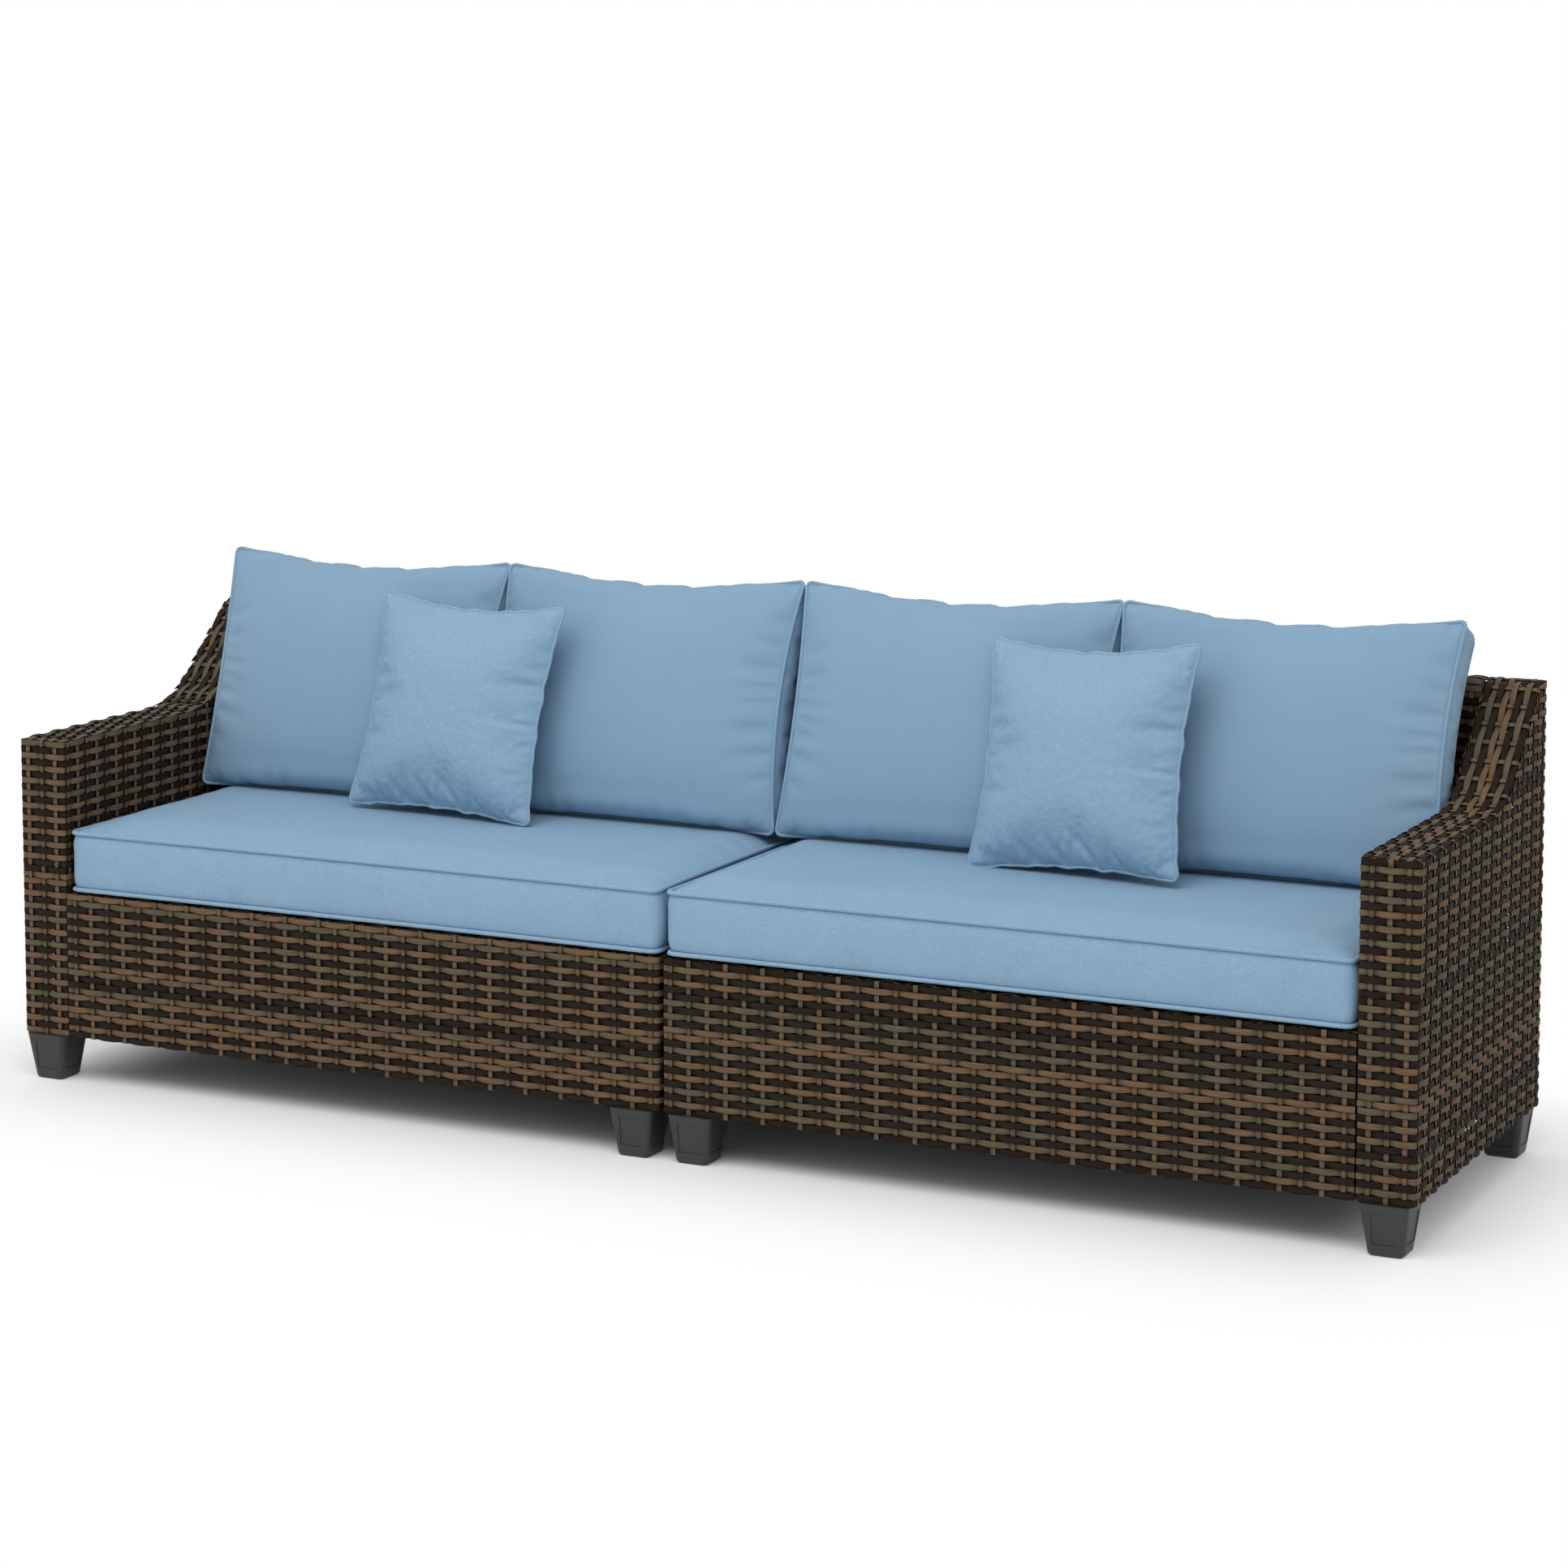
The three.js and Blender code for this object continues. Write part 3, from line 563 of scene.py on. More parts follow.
for _, side in SIDES:
    skin(
        "back_weave", side, "back", upright(back_plan), back_rows, back_stakes,
        row_tones(len(back_rows), 0, 1), tight=back_plan[3],
    )
    skin(
        "back_weave", side, "back_top", capping(back_profile, back_section, [1, 0, 2]),
        back_strands, back_top_stakes, row_tones(len(back_strands), 0, 1), tight=back_profile[3],
    )

# The seat deck is woven openly, like a chair seat, since the cushion covers it.
deck_row_pitch, deck_gap = 0.0155, 0.0003
deck_front_margin, deck_rear_margin, deck_seam_margin = 0.0058, 0.0033, 0.003


def deck(run, across):
    level = deck_height - skin_depth - deck_gap
    place = np.stack(np.broadcast_arrays(run, across, level), axis=-1)
    return place, np.zeros_like(place) + (0, 0, 1)


deck_rows = evenly(front_face + deck_front_margin, back_front - deck_rear_margin, deck_row_pitch)
deck_stakes = evenly(arm_inner + deck_gap, base_end - deck_seam_margin, stake_pitch)
for _, side in SIDES:
    skin(
        "seat_deck", side, "deck", deck, deck_rows, deck_stakes, row_tones(len(deck_rows), 0, 1),
    )

# In each base lies a dull black liner, cut as a cross, its edges turned up inside the frame. It is a
# dark sheet put in for the shade inside the base, painted shade, and it keeps daylight from showing
# through.

liner_middle, liner_reach = 0.55775, (0.5235, 0.2945)
liner_level, liner_sag, liner_turn_up = 0.0810, 0.003, 0.204
liner_thickness = 0.0004

# Near black: painted shade, a dark sheet standing for the shade inside the base.
shade_sheet, _ = new_material("black_shade_sheet", "#171614", 0.95)
for word, side in SIDES:
    bm = bmesh.new()
    bmesh.ops.create_grid(bm, x_segments=24, y_segments=14, size=1)
    for vert in bm.verts:
        s, t = vert.co.xy
        vert.co.x = side * liner_middle + s * liner_reach[0]
        vert.co.y = t * liner_reach[1]
        vert.co.z = liner_level - liner_sag * (1 - s * s) * (1 - t * t)
    rim = [edge for edge in bm.edges if edge.is_boundary]
    wall = bmesh.ops.extrude_edge_only(bm, edges=rim)["geom"]
    wall = [item for item in wall if isinstance(item, bmesh.types.BMVert)]
    bmesh.ops.translate(bm, vec=(0, 0, liner_turn_up), verts=wall)
    bmesh.ops.recalc_face_normals(bm, faces=bm.faces[:])
    bmesh.ops.solidify(bm, geom=bm.faces[:], thickness=liner_thickness)
    mesh = bpy.data.meshes.new(f"{word}_liner")
    bm.to_mesh(mesh)
    bm.free()
    piece = as_piece(f"{word}_liner", mesh, shade_sheet, f"{word}_module")

# Each seat cushion is a foam slab in a cover of solution dyed polyester, woven like linen with
# thicker slubs in the weft, matt with faint streaks. Two panels are sewn to a gusset, with piping
# in both seams. It lies loose on the deck, pressed flat below and a little crowned above.

seat_size = (1.0922, 0.5812)
seat_seams = (0.3255, 0.420)
seat_place = (-0.5550, -0.0265)
seat_crowns, seat_crown_width = (0.0045, 0.016), 0.034
seat_draw, seat_corner, seat_bulge = 0.004, 0.013, 0.003
seat_bottom, seat_top = 0.3193, 0.4410
seat_spacing, gusset_rows = 0.0125, 8
seat_piping, seat_piping_out = 0.0038, (1.0015, 1.003, 1)
seam_depth = 0.0014
resting_gap = 0.0003
slub_length, slub_pitch = 0.0055, 0.0010
on_panel, on_edge = 0.999, 0.9999


def cloth_material(name, hex_color, slub, roughness):
    """Woven polyester: a slub noise drawn out along the weft, in the colour and in the bump.

    The threads lie about 0.5 mm apart, too fine to show, so the slubs are drawn at 1 mm.
    """
    material, shader = new_material(name, hex_color, roughness)
    shader.inputs["Specular IOR Level"].default_value = 0.15
    shader.inputs["Sheen Weight"].default_value = 0.05
    shader.inputs["Sheen Roughness"].default_value = 0.5
    place = add_node(material, "ShaderNodeAttribute", {"attribute_name": "cloth"})
    stretched = add_node(
        material, "ShaderNodeVectorMath",
        {"operation": "MULTIPLY", 1: (1 / slub_length, 1 / slub_pitch, 1 / slub_pitch)},
        {0: place.outputs["Vector"]},
    )
    slubs = add_node(
        material, "ShaderNodeTexNoise", {"Scale": 1.0, "Detail": 2.0, "Roughness": 0.55},
        {"Vector": stretched.outputs["Vector"]},
    )
    patches = add_node(
        material, "ShaderNodeTexNoise", {"Scale": 9.0, "Detail": 3.0},
        {"Vector": place.outputs["Vector"]},
    )
    slub_shade = add_node(
        material, "ShaderNodeMapRange",
        {"From Min": 0.3, "From Max": 0.7, "To Min": 1 - slub, "To Max": 1 + slub},
        {"Value": slubs.outputs["Fac"]},
    )
    patch_shade = add_node(
        material, "ShaderNodeMapRange",
        {"From Min": 0.3, "From Max": 0.7, "To Min": 0.98, "To Max": 1.02},
        {"Value": patches.outputs["Fac"]},
    )
    shade = add_node(
        material, "ShaderNodeMath", {"operation": "MULTIPLY"},
        {0: slub_shade.outputs["Result"], 1: patch_shade.outputs["Result"]},
    )
    colour = add_node(
        material, "ShaderNodeMix",
        {"data_type": "RGBA", "blend_type": "MULTIPLY", 0: 1.0, 6: to_linear(hex_color)},
        {7: shade.outputs[0]},
    )
    bump = add_node(
        material, "ShaderNodeBump", {"Strength": 5 * slub, "Distance": 0.0004},
        {"Height": slubs.outputs["Fac"]},
    )
    material.node_tree.links.new(colour.outputs[2], shader.inputs["Base Color"])
    material.node_tree.links.new(bump.outputs["Normal"], shader.inputs["Normal"])
    return material


linen = cloth_material("linen_weave_polyester", "#86a5bd", 0.11, 0.8)


def sewn_box(columns, rows, band_rows):
    """Two panels joined by a band, with their place in the cover, -1 to 1 each way, as its shape."""
    bm = bmesh.new()
    bmesh.ops.create_grid(bm, x_segments=columns, y_segments=rows, size=1)
    for vert in bm.verts:
        vert.co.z = -1
    top = bmesh.ops.extrude_face_region(bm, geom=bm.faces[:], use_keep_orig=True)["geom"]
    bmesh.ops.translate(
        bm, vec=(0, 0, 2), verts=[item for item in top if isinstance(item, bmesh.types.BMVert)],
    )
    walls = [e for e in bm.edges if abs(e.verts[0].co.z - e.verts[1].co.z) > 1]
    if band_rows > 1:
        bmesh.ops.subdivide_edges(bm, edges=walls, cuts=band_rows - 1)
    bmesh.ops.recalc_face_normals(bm, faces=bm.faces[:])
    bm.verts.ensure_lookup_table()
    return bm, np.array([vert.co[:] for vert in bm.verts])


def round_corner(x, y, size, corner):
    """Draws the corners of a grid in plan in to a radius, without gathering its lines."""
    inner = np.array(size) / 2 - corner
    over_x, over_y = np.abs(x) - inner[0], np.abs(y) - inner[1]
    u, v = np.clip(over_x / corner, 0, None), np.clip(over_y / corner, 0, None)
    near = (over_x > 0) & (over_y > 0)
    round_x = np.sign(x) * (inner[0] + corner * u * np.sqrt(np.clip(1 - v * v / 2, 0, 1)))
    round_y = np.sign(y) * (inner[1] + corner * v * np.sqrt(np.clip(1 - u * u / 2, 0, 1)))
    return np.where(near, round_x, x), np.where(near, round_y, y)


def filled(bm, start, seam, cap, pressure, spare, hold, stiffness, frames):
    """Blows a cover up as cloth, its seams held softly. No point moves further than the cap.

    spare is the share by which the cloth is longer than the shape that it starts from.
    """
    for vert, place in zip(bm.verts, start):
        vert.co = place
    mesh = bpy.data.meshes.new("cover")
    bm.to_mesh(mesh)
    cover = bpy.data.objects.new("cover", mesh)
    scene.collection.objects.link(cover)
    held = cover.vertex_groups.new(name="seam")
    held.add([int(number) for number in np.where(seam)[0]], 1.0, "REPLACE")
    cloth = cover.modifiers.new("cloth", "CLOTH").settings
    cloth.quality = 6
    cloth.mass = 0.3
    cloth.tension_stiffness = cloth.compression_stiffness = stiffness
    cloth.shear_stiffness = stiffness / 3
    cloth.bending_stiffness = 0.4
    cloth.use_pressure = True
    cloth.uniform_pressure_force = pressure
    cloth.shrink_min = -spare
    cloth.effector_weights.gravity = 0
    cloth.vertex_group_mass = "seam"
    cloth.pin_stiffness = hold
    for step in range(1, frames + 1):
        scene.frame_set(step)
    result = cover.evaluated_get(bpy.context.evaluated_depsgraph_get()).data
    places = np.zeros(3 * len(start))
    result.vertices.foreach_get("co", places)
    bpy.data.objects.remove(cover)
    scene.frame_set(1)
    moved = places.reshape(-1, 3) - start
    far = np.linalg.norm(moved, axis=1, keepdims=True)
    return start + moved * np.tanh(far / cap) * cap / np.maximum(far, 1e-9)


def cover_parts(shape):
    """A cover's places in itself, and which points are in a panel, at its ends and at its sides."""
    s, t, h = shape.T
    return s, t, h, np.abs(h) > on_panel, np.abs(s) > on_edge, np.abs(t) > on_edge


def soft_piece(cushion, bm, local, places, material):
    """The cover of a cushion, with its own cloth places for the weave and one subdivision."""
    weave = bm.verts.layers.float_vector.get("cloth") or bm.verts.layers.float_vector.new("cloth")
    for vert, spot, place in zip(bm.verts, local, places):
        vert[weave] = spot
        vert.co = place
    name = f"{cushion}_cover"
    mesh = bpy.data.meshes.new(name)
    bm.to_mesh(mesh)
    mesh.polygons.foreach_set("use_smooth", [True] * len(mesh.polygons))
    piece = as_piece(name, mesh, material, cushion)
    subdivision = piece.modifiers.new("subdivision", "SUBSURF")
    subdivision.levels = subdivision.render_levels = 1
    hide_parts(cushion)


def seam_order(shape, side):
    """The numbers of a seam's points in order round the cover."""
    on_seam = np.where((np.abs(shape[:, :2]).max(axis=1) > on_edge) & (shape[:, 2] == side))[0]
    s, t = shape[on_seam, 0], shape[on_seam, 1]
    round_it = np.where(t <= -on_edge, s, np.where(s >= on_edge, 2 + t, np.where(
        t >= on_edge, 4 - s, 6 - t)))
    return on_seam[np.argsort(round_it)]


def piping(name, points, radius, material, body):
    """A covered cord round a seam, as a closed tube."""
    line = bpy.data.curves.new(name, "CURVE")
    line.dimensions = "3D"
    line.bevel_depth = radius
    line.bevel_resolution = 2
    spline = line.splines.new("POLY")
    spline.points.add(len(points) - 1)
    spline.use_cyclic_u = True
    spline.points.foreach_set("co", np.append(points, np.ones((len(points), 1)), axis=1).ravel())
    cord = bpy.data.objects.new(name, line)
    scene.collection.objects.link(cord)
    made = bpy.data.meshes.new_from_object(cord.evaluated_get(bpy.context.evaluated_depsgraph_get()))
    bpy.data.objects.remove(cord)
    cloth = made.attributes.new("cloth", "FLOAT_VECTOR", "POINT")
    spots = np.zeros(3 * len(made.vertices))
    made.vertices.foreach_get("co", spots)
    cloth.data.foreach_set("vector", spots)
    made.polygons.foreach_set("use_smooth", [True] * len(made.polygons))
    made.materials.clear()
    as_piece(name, made, material, body)


seat_columns, seat_rows = (round(side / seat_spacing) for side in seat_size)
seat_bm, shape = sewn_box(seat_columns, seat_rows, gusset_rows)
s, t, h, in_panel, edge_x, edge_y = cover_parts(shape)
seam_middle = sum(seat_seams) / 2
half_band = (seat_seams[1] - seat_seams[0]) / 2
x = s * (seat_size[0] / 2 - seat_draw * (1 - t * t))
y = t * (seat_size[1] / 2 - seat_draw * (1 - s * s))
x, y = round_corner(x, y, seat_size, seat_corner)
from_edge_x = seat_size[0] / 2 * (1 - np.abs(s))
from_edge_y = seat_size[1] / 2 * (1 - np.abs(t))
rise = np.tanh(from_edge_x / seat_crown_width) * np.tanh(from_edge_y / seat_crown_width)
crown = np.where(h > 0, seat_crowns[1], seat_crowns[0])
band_out = np.where(in_panel, 0, seat_bulge * (1 - h ** 4))
z = h * half_band + np.where(in_panel, h * crown * rise, 0)
seat_start = np.stack(
    [x + np.sign(s) * edge_x * band_out, y + np.sign(t) * edge_y * band_out, z], axis=1,
)
seat_seam = (edge_x | edge_y) & in_panel
seat_shape = filled(
    seat_bm, seat_start, seat_seam, cap=0.007, pressure=3.0, spare=0.012, hold=4.0,
    stiffness=12.0, frames=20,
)
seat_shape[:, 2] = np.clip(
    seat_shape[:, 2], seat_bottom - seam_middle + resting_gap, seat_top - seam_middle,
)
tucked = seat_shape.copy()
tucked[seat_seam, :2] *= 1 - 2 * seam_depth / np.array(seat_size)
for word, side in SIDES:
    centre = np.array((-side * seat_place[0], seat_place[1], seam_middle))
    name = f"{word}_seat_cushion"
    soft_piece(name, seat_bm, seat_start, tucked + centre, linen)
    for level, seam_side in (("lower", -1), ("upper", 1)):
        points = seat_shape[seam_order(shape, seam_side)] * seat_piping_out + centre
        piping(f"{name}_{level}_piping", points, seat_piping, linen, name)
seat_bm.free()

# The back cushions are loose fibre fill in smooth polyester covers, boxed and piped like the seats.
# They stand on the seat and lean on the back, slouched a little: their sides bow in and forward,
# the top seam sags between gathers in its thread, and the panels roll over the long seams.

back_seam_size = (0.5529, 0.418)
back_band = 0.057
back_side_draw, back_top_sag, back_foot_rise, back_slouch = 0.014, 0.029, 0.007, 0.013
gather_rise = 0.005
back_crowns = (0.034, 0.052)
rear_reach = 0.059
back_corners = (0.012, 0.034)
back_roll = (0.010, 0.012)
seam_setback, setback_width = (0.014, 0.022), 0.015
back_roll_width = 0.045
back_bulge = 0.008
back_reach = 0.2763
back_width, middle_gap = 0.55345, 0.0018
back_spacing = 0.0072
recline = math.radians(16.4)
back_foot_y = 0.0733
back_piping = 0.0031
gather_places = (-0.42, -0.06, 0.27)
back_folds = (
    (-0.42, 1, -84, 0.045, 0.0035, 0.007), (-0.06, 1, -97, 0.060, 0.0045, 0.008),
    (0.27, 1, -88, 0.040, 0.0030, 0.007), (0.62, 1, -92, 0.030, 0.0015, 0.007),
    (1, 0.72, 184, 0.040, 0.0012, 0.006), (1, 0.46, 176, 0.055, 0.0018, 0.006),
    (1, 0.30, 190, 0.045, 0.0018, 0.005), (1, 0.12, 178, 0.050, 0.0016, 0.006),
    (1, -0.14, 181, 0.060, 0.0018, 0.006), (1, -0.38, 176, 0.045, 0.0015, 0.006),
    (1, -0.62, 172, 0.040, 0.0015, 0.006),
    (-1, 0.60, -4, 0.045, 0.0012, 0.006), (-1, 0.34, 3, 0.055, 0.0018, 0.006),
    (-1, 0.05, -3, 0.060, 0.0018, 0.006), (-1, -0.22, 5, 0.050, 0.0016, 0.006),
    (-1, -0.50, 8, 0.040, 0.0014, 0.006),
    (-0.46, -1, 100, 0.075, 0.0030, 0.010), (-0.30, -1, 118, 0.085, 0.0026, 0.010),
    (0.02, -1, 96, 0.050, 0.0018, 0.009), (0.44, -1, 112, 0.080, 0.0028, 0.011),
    (0.66, -1, 84, 0.060, 0.0020, 0.009),
)
satin = cloth_material("smooth_weave_polyester", "#819fb7", 0.02, 0.75)


def gathers(points, size, folds):
    """How deep short folds are at each point of a panel, with a low ridge along both sides.

    Each fold has the share of the panel where it starts, its heading, length, depth and width.
    """
    depths = np.zeros(len(points))
    for across, up, heading, length, depth, width in folds:
        start = np.array((across, up)) * size / 2
        ahead = np.array((math.cos(math.radians(heading)), math.sin(math.radians(heading))))
        along = (points[:, :2] * np.array(size) / 2 - start) @ ahead
        off = np.abs((points[:, :2] * np.array(size) / 2 - start) @ (-ahead[1], ahead[0])) / width
        fading = np.clip(along / 0.008, 0, 1) * np.clip(1 - along / length, 0, 1) ** 1.2
        depths += depth * fading * (np.exp(-off ** 2) - 0.45 * np.exp(-(off - 1.9) ** 2))
    return depths


def leaning(places, foot, lean, yaw=0.0, roll=0.0):
    """Turns a cushion made lying on its back up to its lean, standing on the seat at its foot."""
    x, y, z = places.T
    x, y = x * math.cos(roll) - y * math.sin(roll), x * math.sin(roll) + y * math.cos(roll)
    y, z = y * math.sin(lean) - z * math.cos(lean), y * math.cos(lean) + z * math.sin(lean)
    x, y = x * math.cos(yaw) - y * math.sin(yaw), x * math.sin(yaw) + y * math.cos(yaw)
    return np.stack([x + foot[0], y + foot[1], z + foot[2]], axis=1)


back_columns, back_row_count = (round(side / back_spacing) for side in back_seam_size)
back_bm, shape = sewn_box(back_columns, back_row_count, gusset_rows)
s, t, h, in_panel, edge_x, edge_y = cover_parts(shape)
ends = np.array((-1.0, *gather_places, 1.0))
arcs = np.abs(np.sin(math.pi * np.interp(s, ends, np.arange(len(ends))))) * np.sqrt(1 - s * s)
sag = back_top_sag * (1 - np.abs(s) ** 1.8) - gather_rise * arcs
x = s * (back_seam_size[0] / 2 - back_side_draw * (1 - t * t))
y = t * back_seam_size[1] / 2 - np.where(t > 0, t * t * sag, 0)
y += np.where(t < 0, t * t * back_foot_rise * (1 - s ** 4), 0)
front_x, front_y = round_corner(x, y, back_seam_size, back_corners[0])
rear_x, rear_y = round_corner(x, y, back_seam_size, back_corners[1])
forward = (h + 1) / 2
x, y = rear_x + (front_x - rear_x) * forward, rear_y + (front_y - rear_y) * forward
from_edge_y = back_seam_size[1] / 2 * (1 - np.abs(t))
rolled = np.clip(from_edge_y / back_roll_width, 0, 1)
roll_over = np.where(t > 0, back_roll[0], back_roll[1]) * np.sin(math.pi * rolled)
roll_over += from_edge_y * (1 - rolled ** 1.5)
y += in_panel * (h > 0) * np.sign(t) * roll_over * (1 - s ** 6)
bow = back_slouch * (1 - t * t)
rise = (1 - np.abs(s) ** 3) ** 0.75 * (1 - np.abs(t) ** 3.4) ** 0.6
crown = np.where(h > 0, back_crowns[0], back_crowns[1])
band_out = np.where(in_panel, 0, back_bulge * (1 - h * h) * (1 - np.minimum(abs(s), abs(t)) ** 3))
z = h * back_band / 2 + np.where(in_panel, h * crown * rise, 0) + bow
setback = np.where(t > 0, seam_setback[0], seam_setback[1]) * t ** 8 * (1 - s ** 4)
z -= setback * np.where(in_panel, (h > 0) * np.exp(-from_edge_y / setback_width), (h + 1) / 2)
back_start = np.stack(
    [x + np.sign(s) * edge_x * band_out, y + np.sign(t) * edge_y * band_out, z], axis=1,
)
back_seam = (edge_x | edge_y) & in_panel
back_shape = filled(
    back_bm, back_start, back_seam, cap=0.010, pressure=4.0, spare=0.03, hold=3.0,
    stiffness=6.0, frames=10,
)
back_shape[:, 2] -= in_panel * h * gathers(shape, back_seam_size, back_folds)
back_shape[:, 0] = np.clip(back_shape[:, 0], -back_reach, back_reach)
rear = back_band / 2 + rear_reach * (1 - np.abs(s) ** 3) * (1 - np.abs(t) ** 3) - bow
back_shape[:, 2] = np.maximum(back_shape[:, 2], -rear)
back_shape = back_shape + (0, back_seam_size[1] / 2, -back_band / 2)
for word, side in SIDES:
    for number, place in enumerate(("inner", "outer")):
        foot = (side * (middle_gap + back_width * (number + 0.5)), back_foot_y, seat_top)
        standing = leaning(back_shape, foot, recline)
        standing[:, 2] = np.maximum(standing[:, 2], seat_top + resting_gap)
        name = f"{word}_{place}_back_cushion"
        soft_piece(name, back_bm, back_start, standing, satin)
        for face, seam_side in (("rear", -1), ("front", 1)):
            points = standing[seam_order(shape, seam_side)]
            piping(f"{name}_{face}_piping", points, back_piping, satin, name)
back_bm.free()

# The throw pillows are the seats' linen weave, two square panels sewn together with piping and
# filled with fibre. The filled panels are longer than the seam round them, so the sides draw in and
# the cloth gathers into short folds along the seam.

pillow_size, pillow_thickness, pillow_standoff = 0.366, 0.116, 0.055
pillow_draws = (0.017, 0.022, 0.013)
pillow_corner, pillow_crown, rim_thickness = 0.015, 0.047, 0.0006
pillow_spacing = 0.0050
pillow_piping = 0.0027
pillow_wave, wave_reach, wave_lengths = 0.0012, 0.010, (0.0063, 0.031, 0.0107)
fold_strength, unevenness = 1.35, 0.001
pillow_places = {
    "left": {"x": -0.57225, "pressed": 0.011, "lift": 0.004, "yaw": -4.4, "roll": -1.0},
    "right": {"x": 0.55825, "pressed": 0.006, "lift": 0.003, "yaw": -7.2, "roll": 2.6},
}
pillow_folds = (
    (1, 0.52, 188, 0.035, 0.0016, 0.005), (1, 0.25, 177, 0.055, 0.0042, 0.005),
    (1, 0.08, 171, 0.035, 0.0020, 0.004), (1, -0.12, 179, 0.065, 0.0045, 0.005),
    (1, -0.29, 186, 0.050, 0.0030, 0.0045), (1, -0.48, 172, 0.040, 0.0028, 0.005),
    (-0.82, -1, 99, 0.030, 0.0030, 0.004), (-0.58, -1, 110, 0.055, 0.0042, 0.005),
    (-0.32, -1, 126, 0.080, 0.0040, 0.006), (-0.04, -1, 121, 0.065, 0.0048, 0.006),
    (0.27, -1, 129, 0.090, 0.0042, 0.006), (0.52, -1, 117, 0.045, 0.0034, 0.005),
    (0.76, -1, 104, 0.035, 0.0030, 0.005),
    (-1, 0.34, 2, 0.030, 0.0024, 0.005), (-1, -0.06, 6, 0.035, 0.0026, 0.005),
    (-1, -0.45, -4, 0.030, 0.0022, 0.005),
    (-0.76, 1, -79, 0.035, 0.0028, 0.005), (-0.48, 1, -86, 0.025, 0.0022, 0.004),
    (-0.12, 1, -96, 0.030, 0.0024, 0.005), (0.34, 1, -91, 0.035, 0.0024, 0.005),
    (0.68, 1, -101, 0.030, 0.0022, 0.005),
)

pillow_count = round(pillow_size / pillow_spacing)
pillow_bm, shape = sewn_box(pillow_count, pillow_count, 1)
s, t, h = shape.T
rise = ((1 - np.abs(s) ** 2.6) * (1 - np.abs(t) ** 2.6)) ** 0.56
side_draw, top_draw, foot_draw = pillow_draws
x = s * (pillow_size / 2 - side_draw * (1 - t * t))
y = t * (pillow_size / 2 - np.where(t > 0, top_draw, foot_draw) * (1 - s * s))
x, y = round_corner(x, y, (pillow_size, pillow_size), pillow_corner)
edge = np.maximum(np.abs(s), np.abs(t))
near_seam = np.exp(-(1 - edge) * pillow_size / 2 / wave_reach)
near_seam *= 1 - np.minimum(np.abs(s), np.abs(t)) ** 6
round_it = np.where(np.abs(s) > np.abs(t), t + np.sign(s), s - 3 * np.sign(t)) * pillow_size / 2
wave = np.sin(round_it / wave_lengths[0]) * np.sin(round_it / wave_lengths[1] + 0.6)
wave += 0.8 * np.sin(round_it / wave_lengths[2] + 1.3)
wave *= pillow_wave * near_seam
x = x + np.where(np.abs(s) > np.abs(t), np.sign(s) * wave, 0)
y = y + np.where(np.abs(s) > np.abs(t), 0, np.sign(t) * wave)
pillow_start = np.stack([x, y, h * (rim_thickness + pillow_crown * rise)], axis=1)
uneven = random.Random(3)
uneven_heights = [uneven.uniform(-unevenness, unevenness) for _ in pillow_start]
pillow_start[:, 2] += uneven_heights * (rise > 0)
pillow_shape = filled(
    pillow_bm, pillow_start, edge > on_edge, cap=0.012, pressure=5.0, spare=0.04, hold=1.6,
    stiffness=6.0, frames=20,
)
folds = gathers(shape, (pillow_size, pillow_size), pillow_folds)
pillow_shape[:, 2] -= fold_strength * h * folds
pillow_y = back_foot_y - pillow_standoff - pillow_thickness / 2
for word, side in SIDES:
    place = pillow_places[word]
    foot = (place["x"], pillow_y + place["pressed"], seat_top + place["lift"])
    standing = leaning(
        pillow_shape + (0, pillow_size / 2, 0), foot, recline,
        math.radians(place["yaw"]), math.radians(place["roll"]),
    )
    standing[:, 2] = np.maximum(standing[:, 2], seat_top + resting_gap)
    name = f"{word}_throw_pillow"
    soft_piece(name, pillow_bm, pillow_start, standing, linen)
    front, rear = (standing[seam_order(shape, seam_side)] for seam_side in (1, -1))
    piping(f"{name}_piping", (front + rear) / 2, pillow_piping, linen, name)
pillow_bm.free()

# The floor is plain and pale, and the room round it is a soft white. Both look white to the camera
# and in reflections, the floor from a few steps away on, and near the sofa it keeps its shadow.

scene.view_settings.view_transform = "Standard"



def seen_share(owner):
    """1 for what the camera, a reflection or clear glass sees, 0 for light on the object."""
    rays = add_node(owner, "ShaderNodeLightPath")
    seen = add_node(
        owner, "ShaderNodeMath", {"operation": "MAXIMUM"},
        {0: rays.outputs["Is Camera Ray"], 1: rays.outputs["Is Glossy Ray"]},
    )
    return add_node(
        owner, "ShaderNodeMath", {"operation": "MAXIMUM"},
        {0: seen.outputs[0], 1: rays.outputs["Is Transmission Ray"]},
    )


room_light = 0.70
world = bpy.data.worlds.new("studio")
scene.world = world
world.use_nodes = True
sky = world.node_tree.nodes["Background"]
level = add_node(
    world, "ShaderNodeMapRange", {"To Min": room_light, "To Max": 1.0},
    {"Value": seen_share(world).outputs[0]},
)
world.node_tree.links.new(level.outputs["Result"], sky.inputs["Strength"])
sky.inputs["Color"].default_value = (1, 1, 1, 1)

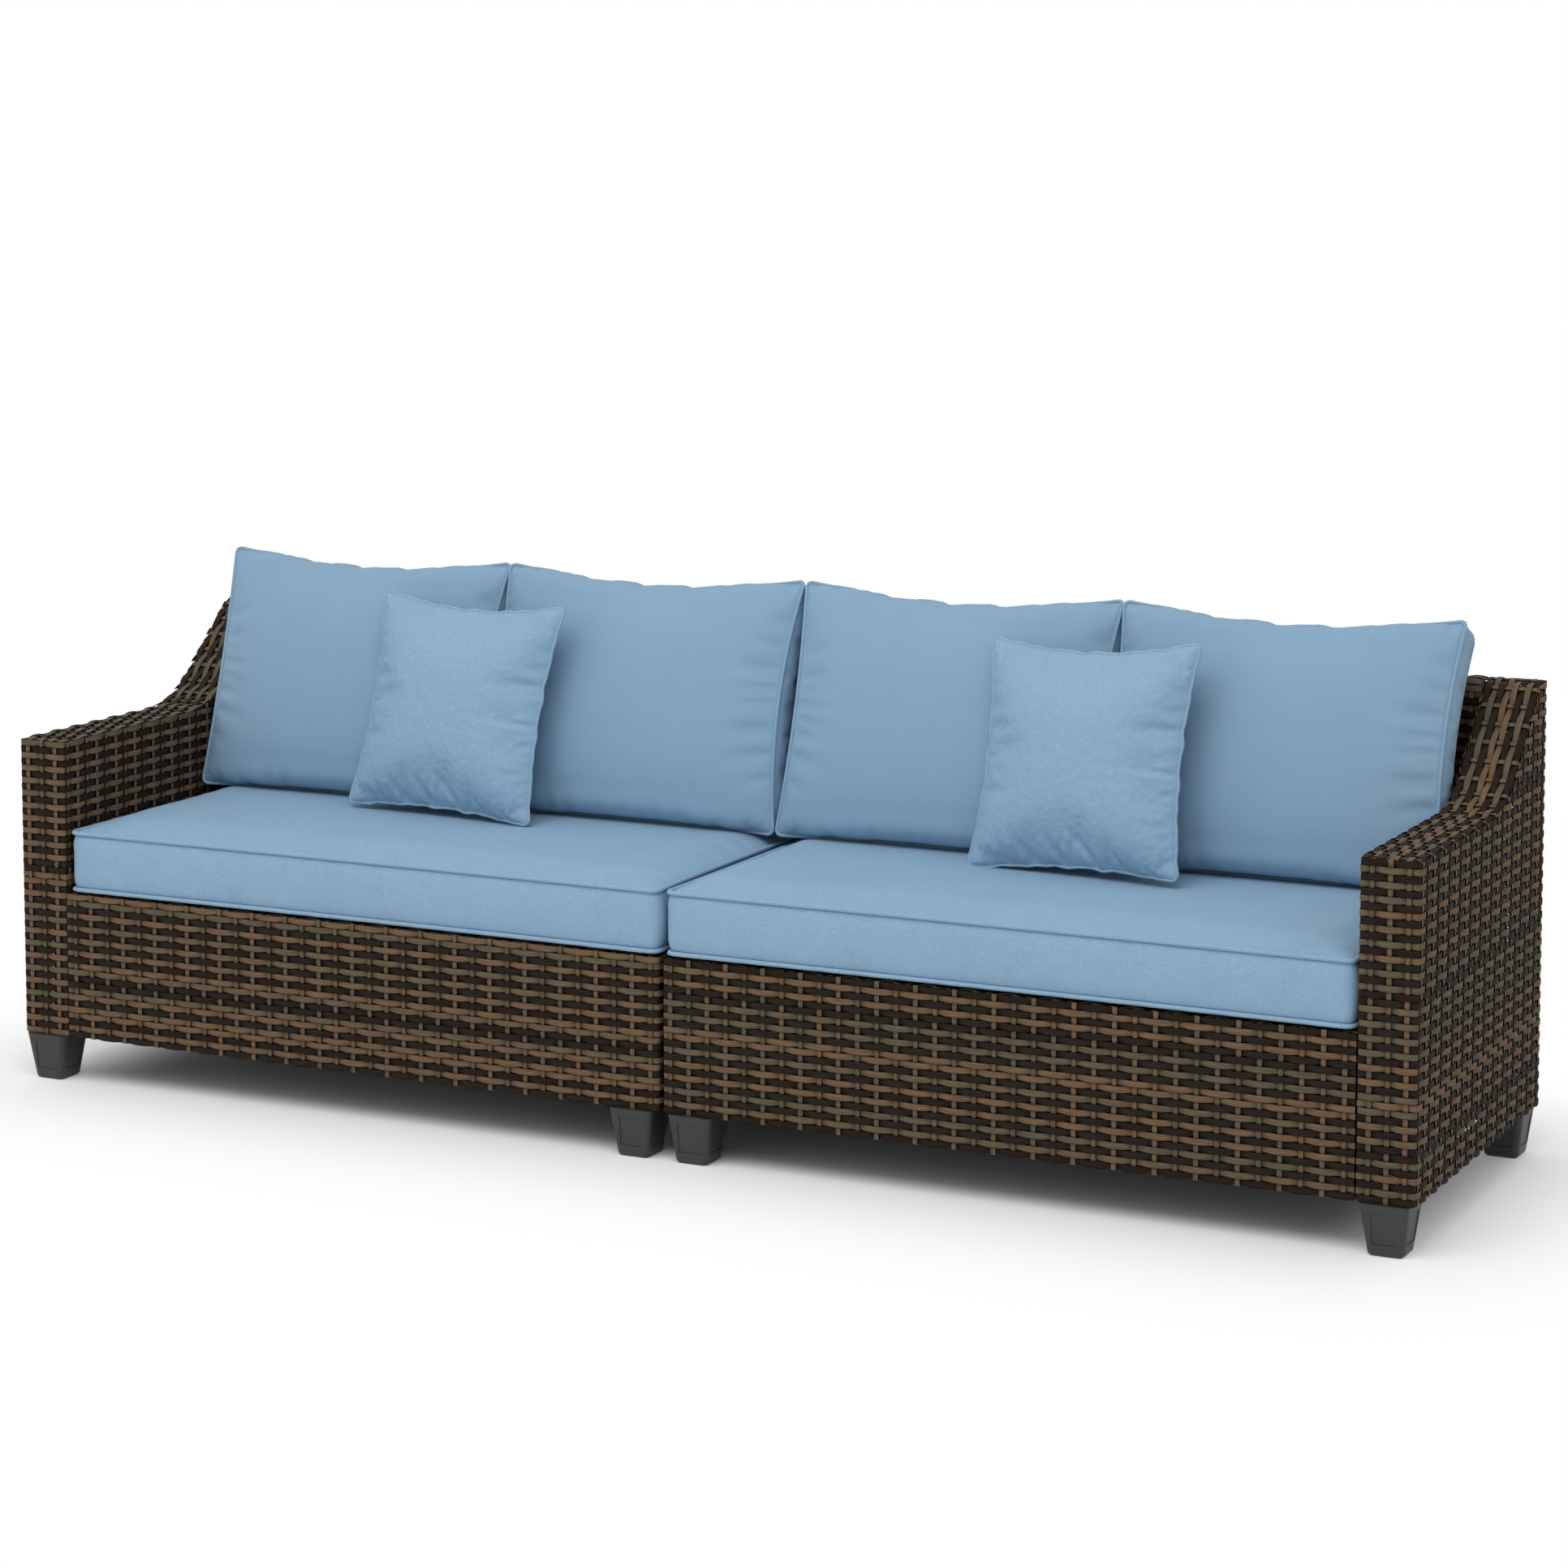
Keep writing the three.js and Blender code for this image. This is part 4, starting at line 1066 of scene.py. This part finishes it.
floor_size = 40
footprint = (1.0, 0.2)
shadow_reach = (0.0, 0.6)
floor_mesh = bpy.data.meshes.new("floor")
floor_bm = bmesh.new()
bmesh.ops.create_grid(floor_bm, x_segments=1, y_segments=1, size=floor_size / 2)
floor_bm.to_mesh(floor_mesh)
floor_bm.free()
floor = bpy.data.objects.new("floor", floor_mesh)
scene.collection.objects.link(floor)
floor_paint, floor_shader = new_material("floor_paint", "#f6f6f6", 0.9)
floor_shader.inputs["Specular IOR Level"].default_value = 0.0
place = add_node(floor_paint, "ShaderNodeTexCoord")
folded = add_node(
    floor_paint, "ShaderNodeVectorMath", {"operation": "ABSOLUTE"}, {0: place.outputs["Object"]},
)
beside = add_node(
    floor_paint, "ShaderNodeVectorMath", {"operation": "SUBTRACT", 1: (*footprint, 0)},
    {0: folded.outputs["Vector"]},
)
outside = add_node(
    floor_paint, "ShaderNodeVectorMath", {"operation": "MAXIMUM", 1: (0, 0, 0)},
    {0: beside.outputs["Vector"]},
)
distance = add_node(
    floor_paint, "ShaderNodeVectorMath", {"operation": "LENGTH"}, {0: outside.outputs["Vector"]},
)
far = add_node(
    floor_paint, "ShaderNodeMapRange",
    {"interpolation_type": "SMOOTHSTEP", "From Min": shadow_reach[0], "From Max": shadow_reach[1]},
    {"Value": distance.outputs["Value"]},
)
far_seen = add_node(
    floor_paint, "ShaderNodeMath", {"operation": "MULTIPLY"},
    {0: far.outputs["Result"], 1: seen_share(floor_paint).outputs[0]},
)
white = add_node(floor_paint, "ShaderNodeEmission", {"Color": (1, 1, 1, 1), "Strength": 1.0})
floor_look = add_node(
    floor_paint, "ShaderNodeMixShader",
    links={0: far_seen.outputs[0], 1: floor_shader.outputs["BSDF"], 2: white.outputs["Emission"]},
)
floor_output = floor_paint.node_tree.nodes["Material Output"]
floor_paint.node_tree.links.new(floor_look.outputs["Shader"], floor_output.inputs["Surface"])
floor_mesh.materials.append(floor_paint)


def area_lamp(name, size, power, location):
    data = bpy.data.lights.new(name, "AREA")
    data.shape = "RECTANGLE"
    data.size, data.size_y = size
    data.energy = power
    lamp = bpy.data.objects.new(name, data)
    lamp.location = location
    lamp.rotation_euler = (Vector(lamp_target) - Vector(location)).to_track_quat("-Z", "Y").to_euler()
    scene.collection.objects.link(lamp)


lamp_target = (0, 0, 0.4)
area_lamp("key_lamp", (4.4, 3.2), 130, (0.3, -3.0, 4.9))
area_lamp("fill_lamp", (3.5, 2.5), 12, (-4.0, -3.4, 2.6))

# The camera stands where the photograph's did, fitted to the sofa's corners. The picture is a
# little above the lens's own centre, as when a camera's back is raised to keep uprights upright.
image_size, focal_pixels, shift_pixels = 1932, 4873.2, -340
camera_place, camera_tilt, camera_turn = (2.7877, -5.5784, 1.6397), 6.039, 26.112
camera_data = bpy.data.cameras.new("camera")
camera_data.sensor_width = 36
camera_data.lens = camera_data.sensor_width * focal_pixels / image_size
camera_data.shift_y = shift_pixels / image_size
camera_data.clip_end = 50
camera = bpy.data.objects.new("camera", camera_data)
camera.location = camera_place
camera.rotation_euler = (math.radians(90 - camera_tilt), 0, math.radians(camera_turn))
scene.collection.objects.link(camera)
scene.camera = camera
